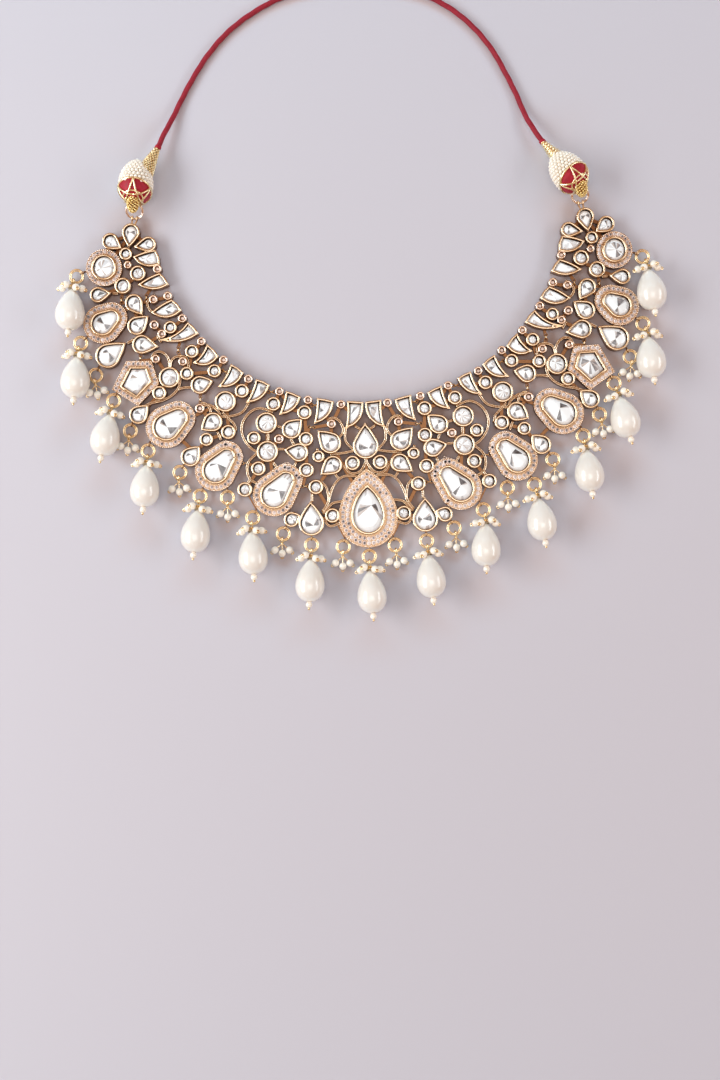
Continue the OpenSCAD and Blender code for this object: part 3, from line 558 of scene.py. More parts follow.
@dataclass(frozen=True)
class MetalFinish:
    """Plated metal: slightly uneven colour and polish, with fine cast grain, and optionally
    painted shade that darkens its lower parts by height.

    Args:
        name: name of the material.
        bright: colour of clean metal.
        deep: colour where the plating is thicker.
        roughness: lowest roughness.
        grain: height of the cast grain in metres.
        low: colour of the painted shade on the lower parts, or None for the same colour all over.
        painted_shade_span: heights between which the painted shade clears, in millimetres.
    """

    name: str
    bright: tuple[float, float, float]
    deep: tuple[float, float, float]
    roughness: float
    grain: float = 0.004 * MM
    low: tuple[float, float, float] | None = None
    painted_shade_span: tuple[float, float] = (1.9, 2.95)

    def material(self) -> bpy.types.Material:
        """Builds the material."""
        shader = Shader(self.name)
        patches = shader.noise(260.0)
        fine = shader.noise(2600.0, detail=3.0)
        colour = shader.mix(patches, self.bright, self.deep)
        # Painted shade: the colour is low at the bottom of the span of heights and clears to the
        # metal's colour at its top.
        if self.low:
            height = shader.node("ShaderNodeSeparateXYZ", {}, {0: shader.place()}, output="Z")
            rise = {"Value": height, "From Min": self.painted_shade_span[0] * MM,
                    "From Max": self.painted_shade_span[1] * MM}
            colour = shader.mix(shader.node("ShaderNodeMapRange", {}, rise), self.low, colour)
        return shader.finish({
            "Base Color": colour,
            "Metallic": 1.0,
            "Roughness": self.roughness + 0.12 * fine,
            "Normal": shader.bump(fine, self.grain),
        })


@dataclass(frozen=True)
class StoneFinish:
    """Cut stone whose facets are painted from white to dark grey by the attribute tone, as
    painted reflections, with streaks.

    Args:
        name: name of the material.
        stops: colours by tone.
        streaks: share of the tone that varies inside a facet.
        scale: features of the streaks a metre.
    """

    name: str
    stops: tuple
    streaks: float
    scale: float

    def material(self) -> bpy.types.Material:
        """Builds the material."""
        shader = Shader(self.name)
        waves = shader.noise(self.scale, detail=2.0, distortion=1.5)
        # Painted reflections: each facet's colour is read from the stops by its painted value and
        # streaks.
        tone = shader.attribute("tone") + self.streaks * (waves - 0.5)
        return shader.finish({
            "Base Color": shader.ramp(tone, self.stops),
            "Roughness": 0.06 + 0.08 * waves,
            "IOR": 1.75,
            "Coat Weight": 0.6,
            "Coat Roughness": 0.03,
        })


@dataclass(frozen=True)
class PearlFinish:
    """Nacre: ivory with a soft gloss and fine bloom.

    Args:
        name: name of the material.
        light: colour of the nacre.
        warm: its warmer patches.
        roughness: lowest roughness under the clear nacre.
    """

    name: str
    light: tuple[float, float, float]
    warm: tuple[float, float, float]
    roughness: float = 0.22

    def material(self) -> bpy.types.Material:
        """Builds the material."""
        shader = Shader(self.name)
        bloom = shader.noise(180.0, detail=2.0, distortion=0.4)
        fine = shader.noise(1500.0)
        return shader.finish({
            "Base Color": shader.mix(bloom, self.light, self.warm),
            "Roughness": self.roughness + 0.08 * fine,
            "IOR": 1.75,
            "Coat Weight": 1.0,
            "Coat IOR": 1.65,
            "Coat Roughness": 0.16,
            "Sheen Weight": 0.25,
            "Sheen Roughness": 0.4,
            "Sheen Tint": (1.0, 0.86, 0.78),
            "Normal": shader.bump(fine, 0.004 * MM),
        })


@dataclass(frozen=True)
class ThreadFinish:
    """Thread or cloth: fine fibres in uneven patches, with painted shade that darkens the
    furrows of their bump and lights the crowns.

    Args:
        name: name of the material.
        light: colour on the crowns of the thread.
        dark: colour of the painted shade in its furrows.
        roughness: roughness of the fibres.
        scale: fibres a metre.
    """

    name: str
    light: tuple[float, float, float]
    dark: tuple[float, float, float]
    roughness: float
    scale: float = 2200.0

    def material(self) -> bpy.types.Material:
        """Builds the material."""
        shader = Shader(self.name)
        fibres = shader.noise(self.scale, detail=2.0, distortion=0.8)
        patches = shader.noise(500.0)
        return shader.finish({
            # Painted shade: the colour darkens where the fibres' bump is low, mixed with random
            # patches.
            "Base Color": shader.mix(0.65 * fibres + 0.35 * patches, self.dark, self.light),
            "Roughness": self.roughness + 0.2 * fibres,
            "Sheen Weight": 0.06,
            "Sheen Roughness": 0.5,
            "Normal": shader.bump(fibres, 0.06 * MM),
        })


@dataclass(frozen=True)
class FloorFinish:
    """Plain pale board with a hardly visible tooth."""

    colour: tuple[float, float, float]

    def material(self) -> bpy.types.Material:
        """Builds the material."""
        shader = Shader("pale_board")
        tooth = shader.noise(900.0, detail=3.0)
        return shader.finish({
            "Base Color": self.colour,
            "Roughness": 0.75 + 0.1 * tooth,
            "Normal": shader.bump(tooth, 0.01 * MM),
        })


# Painted reflections on the stones' facets, in greys from near black to white, with the
# setting's gold painted as showing through in one of them
FACET_REFLECTION_STOPS = (
    (0.0, (0.06, 0.06, 0.065)), (0.16, (0.26, 0.26, 0.28)), (0.32, (0.52, 0.44, 0.4)),
    (0.5, (0.66, 0.68, 0.71)), (0.72, (0.86, 0.9, 0.93)), (1.0, (0.95, 0.98, 1.0)),
)
# Painted reflections on the pavé stones' facets, from near black to pinkish white
PAVE_REFLECTION_STOPS = (
    (0.0, (0.05, 0.045, 0.05)), (0.25, (0.34, 0.28, 0.28)), (0.6, (0.84, 0.70, 0.67)),
    (1.0, (1.0, 0.92, 0.89)),
)


class Palette:
    """All finishes of the collar, as materials by name."""

    def __init__(self) -> None:
        """Builds each material once."""
        finishes = {
            # Painted shade: the panels' walls and struts under 1.9 mm are dark brown, clearing by
            # 2.95 mm.
            "gold": MetalFinish("rose_gold", (1.0, 0.84, 0.62), (1.0, 0.75, 0.48), 0.22,
                                low=(0.27, 0.15, 0.08)),
            # Painted shade: dark brown on the lower sides of the rim mouldings, drawn as dark
            # outlines.
            "rim": MetalFinish("bright_gold", (1.0, 0.96, 0.82), (1.0, 0.87, 0.64), 0.13,
                               low=(0.2, 0.075, 0.022), painted_shade_span=(3.05, 3.27)),
            # Painted shade: dark brown on the lower sides of the scroll ridges.
            "ridge": MetalFinish("wire_gold", (1.0, 0.96, 0.84), (1.0, 0.88, 0.68), 0.13,
                                 low=(0.2, 0.09, 0.03), painted_shade_span=(2.03, 2.15)),
            "wire": MetalFinish("yellow_gold", (1.0, 0.93, 0.70), (1.0, 0.80, 0.50), 0.12),
            "silver": MetalFinish("pale_ring", (0.97, 0.90, 0.84), (0.93, 0.82, 0.72), 0.18),
            # The stone finishes paint each facet's reflection from these stops.
            "stone": StoneFinish("stone_painted_reflections", FACET_REFLECTION_STOPS, 0.6, 900.0),
            "main": StoneFinish("polki", FACET_REFLECTION_STOPS, 0.45, 420.0),
            "pave": StoneFinish("pave_painted_reflections", PAVE_REFLECTION_STOPS, 0.25, 1500.0),
            "pearl": PearlFinish("drop_nacre", (0.91, 0.90, 0.87), (0.86, 0.82, 0.76), 0.3),
            "seed": PearlFinish("seed_nacre", (1.0, 0.97, 0.90), (0.98, 0.91, 0.79), 0.26),
            "pale": MetalFinish("pale_rim", (1.0, 0.96, 0.90), (1.0, 0.86, 0.74), 0.12),
            # Painted shadow: near-black liner that shows in the gap round each stone.
            "foil": MetalFinish("dark_shadow_liner", (0.03, 0.017, 0.012), (0.06, 0.03, 0.018), 0.5),
            "crimson": ThreadFinish("crimson_cloth", (0.66, 0.03, 0.07), (0.14, 0.0, 0.008), 0.42,
                                    1300.0),
            "lining": ThreadFinish("cream_cloth", (0.84, 0.72, 0.56), (0.66, 0.50, 0.34), 0.6),
            # Painted shade: the knot's and tip's cores are dark brown so that they show as shade
            # between the grains.
            "core": ThreadFinish("core_painted_gap_shade", (0.30, 0.14, 0.04), (0.12, 0.05, 0.015), 0.6),
            "zari": MetalFinish("gold_thread", (1.0, 0.97, 0.62), (1.0, 0.8, 0.38), 0.2, 0.02 * MM),
            "cream": MetalFinish("pale_thread", (1.0, 1.0, 0.78), (1.0, 0.88, 0.54), 0.22,
                                 0.02 * MM),
            "cord": ThreadFinish("red_cord", (0.5, 0.04, 0.07), (0.16, 0.006, 0.02), 0.55, 1500.0),
            "floor": FloorFinish((0.60, 0.58, 0.635)),
        }
        self.materials = {key: finish.material() for key, finish in finishes.items()}

    def __getitem__(self, key: str) -> bpy.types.Material:
        """Material of a finish."""
        return self.materials[key]


def make_piece(name: str, form: Form, material: bpy.types.Material, slot: str | None,
               smooth: bool = True, replaces: Sequence[str] = ()) -> bpy.types.Object:
    """Puts a form into the scene as a piece that rides on the root body.

    Args:
        name: name of the piece.
        form: its surface.
        material: its finish.
        slot: name of a material slot, or None for a stage object; only whether it is None is read.
        smooth: whether faces are shaded as one rounded surface.
        replaces: CAD nodes that the piece stands for.
    Returns:
        The new object, at the origin.
    """
    mesh = bpy.data.meshes.new(name)
    mesh.from_pydata(form.points, [], form.quads.tolist() + form.tris.tolist())
    # The face attribute carries the painted reflections of the stones' facets.
    tone = mesh.attributes.new("tone", "FLOAT", "FACE")
    tone.data.foreach_set("value", form.tones.astype(np.float32))
    mesh.polygons.foreach_set("use_smooth", np.full(len(mesh.polygons), smooth))
    mesh.materials.append(material)
    mesh.update()
    piece = bpy.data.objects.new(name, mesh)
    bpy.context.scene.collection.objects.link(piece)
    if slot is None:
        return piece
    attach(piece, "root")
    if replaces:
        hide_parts(*replaces)
    LOG.info("%s: %d faces", name, len(mesh.polygons))
    return piece


# [name, place, width and height, watts, colour, whether it shows in gloss]
LIGHTS = (
    ("top_panel", (0.0, 0.03, 0.9), (0.52, 0.52), 1.05, (0.97, 1.0, 1.0), True),
    ("left_strip", (-0.56, 0.03, 0.36), (0.7, 0.24), 3.0, (0.88, 0.97, 1.0), True),
    ("right_strip", (0.58, 0.03, 0.34), (0.7, 0.16), 1.1, (0.86, 0.95, 1.0), True),
    ("back_strip", (0.0, 0.64, 0.34), (0.8, 0.2), 2.1, (0.26, 0.74, 1.0), False),
    ("front_strip", (0.0, -0.62, 0.34), (0.8, 0.2), 1.2, (0.26, 0.74, 1.0), False),
)


@dataclass(frozen=True)
class Studio:
    """Camera, floor and lights.

    Args:
        height: the camera's height over the floor.
        focus: height of the plane that the layout's step is measured in.
        frame_height: the picture's height in layout steps.
        aim: middle of the picture in layout steps from the medallion.
        floor_size: length of the floor's sides.
        floor_drop: how far the floor lies under the collar's back.
        light_aim: place that the lights look at.
        glow: colour of the light from all round.
        glow_strength: its strength.
        backdrop: colour that the camera sees beyond the floor.
    """

    height: float = 0.42
    focus: float = 2.5 * MM
    frame_height: float = 1080.0
    aim: tuple[float, float] = (-8.0, -30.0)
    floor_size: float = 1.6
    floor_drop: float = 0.05 * MM
    light_aim: tuple[float, float, float] = (0, 0.03, 0)
    glow: tuple[float, float, float] = (1.0, 0.5, 0.24)
    glow_strength: float = 0.39
    backdrop: tuple[float, float, float] = (0.64, 0.61, 0.66)

    def camera(self) -> None:
        """Camera straight over the picture's middle, turned with the layout."""
        data = bpy.data.cameras.new("camera")
        data.sensor_fit = "VERTICAL"
        data.lens = data.sensor_height * (self.height - self.focus) / (self.frame_height * STEP)
        data.clip_start = 0.01
        camera = bpy.data.objects.new("camera", data)
        x, y = at(*self.aim)
        camera.location = (x, y, self.height)
        camera.rotation_euler = (0, 0, LAYOUT_TURN)
        bpy.context.scene.collection.objects.link(camera)
        bpy.context.scene.camera = camera

    def light(self, name: str, place: tuple, size: tuple, power: float, colour: tuple,
              in_gloss: bool) -> None:
        """Soft rectangular light whose -Z looks at light_aim."""
        data = bpy.data.lights.new(name, "AREA")
        data.shape = "RECTANGLE"
        data.size, data.size_y = size
        data.energy = power
        data.color = colour
        lamp = bpy.data.objects.new(name, data)
        turn = (Vector(place) - Vector(self.light_aim)).to_track_quat("Z", "Y").to_matrix()
        lamp.matrix_world = Matrix.Translation(place) @ turn.to_4x4()
        lamp.visible_camera = False
        lamp.visible_glossy = in_gloss
        bpy.context.scene.collection.objects.link(lamp)

    def floor(self, palette: Palette) -> None:
        """Square floor, centred under the collar's origin."""
        corner = self.floor_size * np.array([[-1, -1, 0], [1, -1, 0], [1, 1, 0], [-1, 1, 0]]) / 2
        corner[:, 2] = -self.floor_drop
        make_piece("floor", Form.of(corner, [[0, 1, 2, 3]], []), palette["floor"], None, False)

    def surroundings(self) -> None:
        """Warm light from all round, behind which the camera sees the plain backdrop."""
        world = bpy.data.worlds.new("studio")
        world.use_nodes = True
        nodes, links = world.node_tree.nodes, world.node_tree.links
        warm = nodes["Background"]
        pale = nodes.new("ShaderNodeBackground")
        seen = nodes.new("ShaderNodeLightPath")
        either = nodes.new("ShaderNodeMixShader")
        warm.inputs["Color"].default_value = (*self.glow, 1)
        warm.inputs["Strength"].default_value = self.glow_strength
        pale.inputs["Color"].default_value = (*self.backdrop, 1)
        links.new(seen.outputs["Is Camera Ray"], either.inputs[0])
        links.new(warm.outputs[0], either.inputs[1])
        links.new(pale.outputs[0], either.inputs[2])
        links.new(either.outputs[0], nodes["World Output"].inputs["Surface"])
        bpy.context.scene.world = world

    def build(self, palette: Palette) -> None:
        """Makes the floor, the lights and the surroundings."""
        self.floor(palette)
        for row in LIGHTS:
            self.light(*row)
        self.surroundings()
        bpy.context.scene.view_settings.view_transform = "Standard"
        bpy.context.scene.view_settings.look = "Medium High Contrast"


class Cut(Enum):
    """Way in which a stone is cut."""

    ROUND = "round"
    DROP = "drop"
    PETAL = "petal"


@dataclass
class Setting:
    """Wall and stone of one setting on the left half or the middle line.

    Args:
        outline: k by 2 corners of the CAD stone, counter-clockwise.
        main: whether it is one of the large settings.
    """

    outline: Array
    main: bool = False

    def centre(self) -> Array:
        """Mean of the corners."""
        return self.outline.mean(axis=0)

    def cut(self) -> Cut:
        """Round if all corners are equally far from the middle, a drop if long and pointed.

        A drop is smooth, with more than 13 corners, and its point is over 2.9 mm and over
        1.35 times its least distance from the middle.
        """
        reach = np.linalg.norm(self.outline - self.centre(), axis=1)
        if reach.max() < 1.05 * reach.min():
            return Cut.ROUND
        long = reach.max() > max(2.9 * MM, 1.35 * reach.min())
        return Cut.DROP if long and len(self.outline) > 13 else Cut.PETAL

    def lean(self) -> Array:
        """Unit vector from the picture's middle towards the setting."""
        return unit(self.centre() - np.array([0, -0.012]))

    def grown_by(self, e: float, steps: int = 4) -> Array:
        """Smooth outline, e outside the stone's."""
        return grown(smooth_line(self.outline, steps, closed=True), e)


@dataclass(frozen=True)
class Crown:
    """How stones of one size are cut, and the chances of their facets' painted reflections.

    Args:
        shift: how far a stone sits off its setting's middle, towards the picture's.
        draw: how far the girdle is drawn in, in millimetres, and how much more on its
            outer side, where the near-black liner shows as a painted shadow line.
        inner: share of the way from the middle to the girdle at which the crown breaks.
        heights: heights of the girdle, the break and the top, in millimetres.
        chances: chances of the painted reflections in PAINTED_REFLECTIONS.
    """

    shift: float
    draw: tuple[float, float]
    inner: float
    heights: tuple[float, float, float]
    chances: tuple[float, ...]


# Painted reflections of the top facets, from white to dark
PAINTED_REFLECTIONS = (1.0, 0.85, 0.6, 0.35, 0.12)
MAIN_CROWN = Crown(0.06 * MM, (0.02, 0.1), 0.74, (2.6, 3.0, 3.25), (0.34, 0.12, 0.16, 0.18, 0.2))
SMALL_CROWN = Crown(0.1 * MM, (0.0, 0.14), 0.68, (2.6, 3.05, 3.05),
                    (0.4, 0.18, 0.16, 0.15, 0.11))


@dataclass
class Collar:
    """Stones and metal of the openwork panels.

    Args:
        palette: the finishes.
        rim: half the width, and the height, of the rounded edge on a wall.
        lip: how far a rim reaches over its stone on the side towards the picture's middle.
        ridge: half the width, and the height, of a ridge on a scroll wire.
        ridge_out: how far a ridge lies off the scroll's line.
        grain_r: radius of the grains between the pavé stones.
        edge_r: radius of the beads along a pavé plate's edge.
        edge_pitch: distance between those beads.
        rng: source of the stones' tones.
    """

    palette: Palette
    rim: tuple[float, float] = (0.34 * MM, 0.3 * MM)
    lip: float = 0.12 * MM
    ridge: tuple[float, float] = (0.15 * MM, 0.17 * MM)
    ridge_out: float = 0.25 * MM
    grain_r: float = 0.19 * MM
    edge_r: float = 0.24 * MM
    edge_pitch: float = 0.62 * MM
    rng: np.random.Generator = field(default_factory=lambda: np.random.default_rng(21))

    def __post_init__(self) -> None:
        """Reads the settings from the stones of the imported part."""
        self.stone_nodes = [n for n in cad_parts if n.startswith("stones_")]
        self.main_nodes = [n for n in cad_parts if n.startswith("main_stone_")]
        self.settings = [s for n in self.stone_nodes for s in self.read(n, False)]
        self.mains = {n: self.read(n, True)[0] for n in self.main_nodes}

    @staticmethod
    def read(node: str, main: bool) -> list[Setting]:
        """Settings of a node of stones: one for each loose solid, from its lowest ring.

        Points at one place are merged, edges spread the lowest point number over each solid
        until nothing changes, and a ring's corners are sorted by their angle.
        """
        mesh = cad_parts[node].data
        points = np.empty(3 * len(mesh.vertices))
        mesh.vertices.foreach_get("co", points)
        edges = np.empty(2 * len(mesh.edges), int)
        mesh.edges.foreach_get("vertices", edges)
        microns = np.round(points.reshape(-1, 3) * 1e6)
        keys, inverse = np.unique(microns, axis=0, return_inverse=True)
        a, b = inverse.ravel()[edges.reshape(-1, 2)].T
        label = np.arange(len(keys))
        while True:
            spread = label.copy()
            np.minimum.at(spread, a, label[b])
            np.minimum.at(spread, b, label[a])
            spread = spread[spread]
            if (spread == label).all():
                break
            label = spread
        settings = []
        for solid in np.unique(label):
            ring = keys[label == solid] * 1e-6
            ring = ring[ring[:, 2] < ring[:, 2].min() + 0.02 * MM][:, :2]
            arm = ring - ring.mean(axis=0)
            settings.append(Setting(ring[np.argsort(np.arctan2(arm[:, 1], arm[:, 0]))], main))
        return settings

    def all_settings(self) -> list[Setting]:
        """Small and main settings."""
        return self.settings + list(self.mains.values())

    def tiny_places(self) -> Array:
        """n by 3: places and widths of the smallest settings on both halves."""
        left = np.array([[*at(u, v), w * MM] for u, v, w in TINY_SEATS])
        return np.concatenate([left, left * [-1, 1, 1]])

    def rims(self) -> None:
        """Rounded top edge of each wall.

        The profile is a low moulding, rim[0] * cos t^0.9 out and rim[1] * sin t^0.9 up,
        drawn in a little towards the stone.
        """
        t = np.linspace(-20, 200, 11) * math.pi / 180
        swell = [np.sign(wave) * np.abs(wave)**0.9 for wave in (np.cos(t), np.sin(t))]
        out, up = self.rim
        profile = np.stack([out * swell[0] - 0.05 * MM, BEZEL_TOP + up * swell[1]], -1)
        wall = STONE_GAP + BEZEL_T / 2
        forms = []
        for setting in self.all_settings():
            line = setting.grown_by(wall)
            facing = -(outward(line) * setting.lean()).sum(axis=1)
            forms.append(moulding(line, profile, lip=self.lip * np.clip(facing, 0, 1)))
        make_piece("setting_rims", Form.joined(forms), self.palette["rim"], "gold")
        a = np.linspace(0, 2 * math.pi, 24, endpoint=False)
        circle = np.stack([np.cos(a), np.sin(a)], -1)
        forms = [moulding(place[:2] + (place[2] / 2 - 0.24 * MM) * circle, profile * [0.9, 1])
                 for place in self.tiny_places()]
        make_piece("tiny_rims", Form.joined(forms), self.palette["pale"], "gold")

    def shadow_liners(self) -> None:
        """Near-black liners that line the pockets, open towards the stone's upper edge: painted
        shadow in the gap between stone and wall.
        """
        forms = []
        for setting in self.all_settings():
            wall = setting.grown_by(STONE_GAP - 0.03 * MM, 2)
            inner = setting.grown_by(STONE_GAP - 0.09 * MM, 2)
            levels = [(wall, 0.85), (wall, 2.75), (inner, 2.75), (inner, 1.0)]
            forms.append(stacked(np.stack([raised(line, z * MM) for line, z in levels])))
        make_piece("pocket_shadow_liners", Form.joined(forms), self.palette["foil"], "gold")

    def gem(self, setting: Setting) -> Form:
        """Cut stone of a setting with a ring of crown facets and an uneven top.

        The girdle is the setting's outline, which a sum of two weighted outlines draws in
        by the crown's draw. The corners of the break ring lie between the girdle's, and
        the top facets meet in one point off the middle. Tones k to 2k are the crown's
        facets and those from 3k on the top's, for a girdle of k corners. They are painted
        reflections: mostly white on the crown, by chance on the top, and on a drop dark to
        either side of its long axis and white towards its ends.
        """
        outline = setting.outline
        if len(outline) < 20:
            outline = smooth_line(outline, 2 if len(outline) > 7 else 3, closed=True)
        cut, crown = setting.cut(), MAIN_CROWN if setting.main else SMALL_CROWN
        shift = crown.shift * setting.lean()
        centre = outline.mean(axis=0) - shift
        away = np.clip((unit(outline - centre) * setting.lean()).sum(axis=1), 0, 1)[:, None]
        draw = crown.draw[0] + crown.draw[1] * away
        outline = grown(outline, -1.0) * draw * MM + outline * (1 - draw * MM) - shift
        half = (outline + np.roll(outline, -1, axis=0)) / 2
        low, middle, high = crown.heights
        levels = [(outline, 1.1), (outline, low), (centre + crown.inner * (half - centre), middle)]
        form = stacked(np.stack([raised(line, z * MM) for line, z in levels]))
        reach = np.linalg.norm(outline - centre, axis=1).mean()
        drift = self.rng.uniform(-0.3, 0.3, 2) * reach
        form.points[-1] = [*(centre + drift), (high + 0.04) * MM]
        k = len(outline)
        # Painted reflections of the facets: white to dark top facets by chance, crown facets mostly
        # white.
        shades = self.rng.choice(PAINTED_REFLECTIONS, 2 * k, p=crown.chances)
        form.tones[k:2 * k] = self.rng.choice([1.0, 0.8, 0.45], k, p=[0.65, 0.23, 0.12])
        wide = shades[:k] if setting.main else np.repeat(shades[:(k + 1) // 2], 2)[:k]
        form.tones[3 * k:] = wide + self.rng.uniform(-0.08, 0.08, k)
        if cut is Cut.ROUND:
            form.tones[3 * k:] = self.rng.choice([0.2, 0.36, 0.62, 0.95], k,
                                                 p=[0.1, 0.3, 0.25, 0.35])
        if cut is Cut.DROP:
            arms = unit(half - centre)
            tip = arms[np.linalg.norm(half - centre, axis=1).argmax()]
            side = (arms * tip).sum(axis=1)
            dark_reflection_wedge = np.where(np.abs(side + 0.1) < 0.4, 0.1, 0.4)
            form.tones[3 * k:] = np.where((side > -0.6) & (side < 0.5), dark_reflection_wedge, 0.97)
        return form

    def stones(self) -> None:
        """Dressed stones in place of the CAD ones."""
        small = Form.joined([self.gem(s) for s in self.settings])
        make_piece("set_stones", small, self.palette["stone"], "stone", False, self.stone_nodes)
        for node, setting in self.mains.items():
            name = node.replace("main_stone", "polki")
            make_piece(name, self.gem(setting), self.palette["main"], "main_stone", False, [node])
        places = self.tiny_places()
        centres = raised(places[:, :2], 2.2 * MM)
        sizes = (places[:, 2] / 2 - 0.44 * MM)[:, None, None] * np.eye(3)
        tones = self.rng.uniform(-0.15, 0.15, len(places))
        # Painted reflections: grey crowns and light tables on the tiny stones.
        tiny = self.brilliant(0.42, 0.85).scattered(centres, sizes, tones)
        make_piece("tiny_stones", tiny, self.palette["pave"], "stone", False)

    @staticmethod
    def brilliant(crown: float, table: float) -> Form:
        """Round stone of radius 1 with eight crown facets, whose crown and table carry the given
        painted reflections.
        """
        sides = 8
        form = revolved(np.array([[0.95, -0.5], [1.0, 0.0], [0.55, 0.55]]), sides)
        form.tones[:] = crown
        form.tones[3 * sides:] = table
        return form

    def halos(self) -> None:
        """Pavé stones, grains and beaded edges on the plates round the main settings."""
        stones, grains, edges = [], [], []
        wall = STONE_GAP + BEZEL_T
        for node, setting in self.mains.items():
            if node.endswith("centre"):
                lines = [self.medal_line(0.3), self.medal_line(0.66)]
                pitch, edge = 1.38 * MM, self.medal_line(0.93)
            else:
                width = HALO_WIDTHS[int(node[-1]) - 1] * MM
                lines = [setting.grown_by(wall + 0.5 * width, 6)]
                pitch = min(1.4 * MM, 0.74 * width)
                edge = setting.grown_by(wall + width - 0.13 * MM, 6)
            edges.append(spaced(edge, self.edge_pitch))
            for line in lines:
                places = spaced(line, pitch)
                tones = self.rng.uniform(-0.25, 0.4, len(places))
                # Painted reflections: light crowns and a dark table on each pavé stone.
                stones.append(self.brilliant(0.74, 0.12).scattered(
                    raised(places, HALO_TOP + 0.02 * MM), 0.49 * pitch * UPRIGHT, tones))
                between = (places + np.roll(places, -1, axis=0)) / 2
                grains += [between + out * 0.48 * pitch * outward(places) for out in (-1, 1)]
        make_piece("pave_stones", Form.joined(stones), self.palette["pave"], "stone", False)
        for name, spots, rise, radius in (("pave_grains", grains, 0.1 * MM, self.grain_r),
                                          ("pave_edges", edges, 0.05 * MM, self.edge_r)):
            places = raised(np.concatenate(spots), HALO_TOP + rise)
            make_piece(name, ball(radius, 6, 4).scattered(places), self.palette["pale"], "gold")

    @staticmethod
    def medal_line(share: float) -> Array:
        """Drop between the medallion's setting (share 0) and its plate's edge (share 1).

        With s = (1 - cos t) / 2 it is (0.615 - s) * length along the axis and
        width / 2 * sin t * s^0.3 / 0.841 to the side.
        """
        width, length, low = (1 - share) * np.array([10.1, 14.9, -5.7]) + share * np.array(
            [17.8, 23.7, -7.2])
        t = np.linspace(0, 2 * math.pi, 90, endpoint=False)
        s = (1 - np.cos(t)) / 2
        side = -width / 2 * np.sin(t) * s**0.3 / 0.841
        return np.stack([side * MM, (0.615 - s) * length * MM + low * STEP], -1)

    def scrolls(self) -> None:
        """Twin ridges along the scroll wires.

        Each ridge is half a round wire, carried on one side of the scroll's line.
        """
        t = np.linspace(0, 180, 6) * math.pi / 180
        wide, high = self.ridge
        ridge = np.stack([wide * np.cos(t), SCROLL_TOP + high * np.sin(t)], -1)
        forms = []
        for row in SCROLLS:
            line = smooth_line(np.array([at(*p) for p in row]), 6, corner=179)
            for out in (-self.ridge_out, self.ridge_out):
                forms.append(moulding(line, ridge + [out, 0], closed=False))
        make_piece("scroll_ridges", Form.joined(forms).both_sides(), self.palette["ridge"], "gold")

    def build(self) -> None:
        """Makes all pieces and gives the CAD metal its finish."""
        self.rims()
        self.shadow_liners()
        self.stones()
        self.halos()
        self.scrolls()
        for name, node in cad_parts.items():
            if name.startswith(("panel_left", "panel_right", "panel_centre")):
                dress(node, self.palette["gold"])


def spaced(line: Array, pitch: float) -> Array:
    """Points at even distances, near the pitch, along a closed line."""
    closed = np.concatenate([line, line[:1]])
    length = distances(closed)
    count = max(3, round(length[-1] / pitch))
    s = np.arange(count) * length[-1] / count
    return np.stack([np.interp(s, length, closed[:, axis]) for axis in range(line.shape[1])], -1)


def dress(node: bpy.types.Object, material: bpy.types.Material) -> None:
    """Gives a CAD node's material slots a finish."""
    if not node.material_slots:
        node.data.materials.append(material)
    for entry in node.material_slots:
        entry.material = material


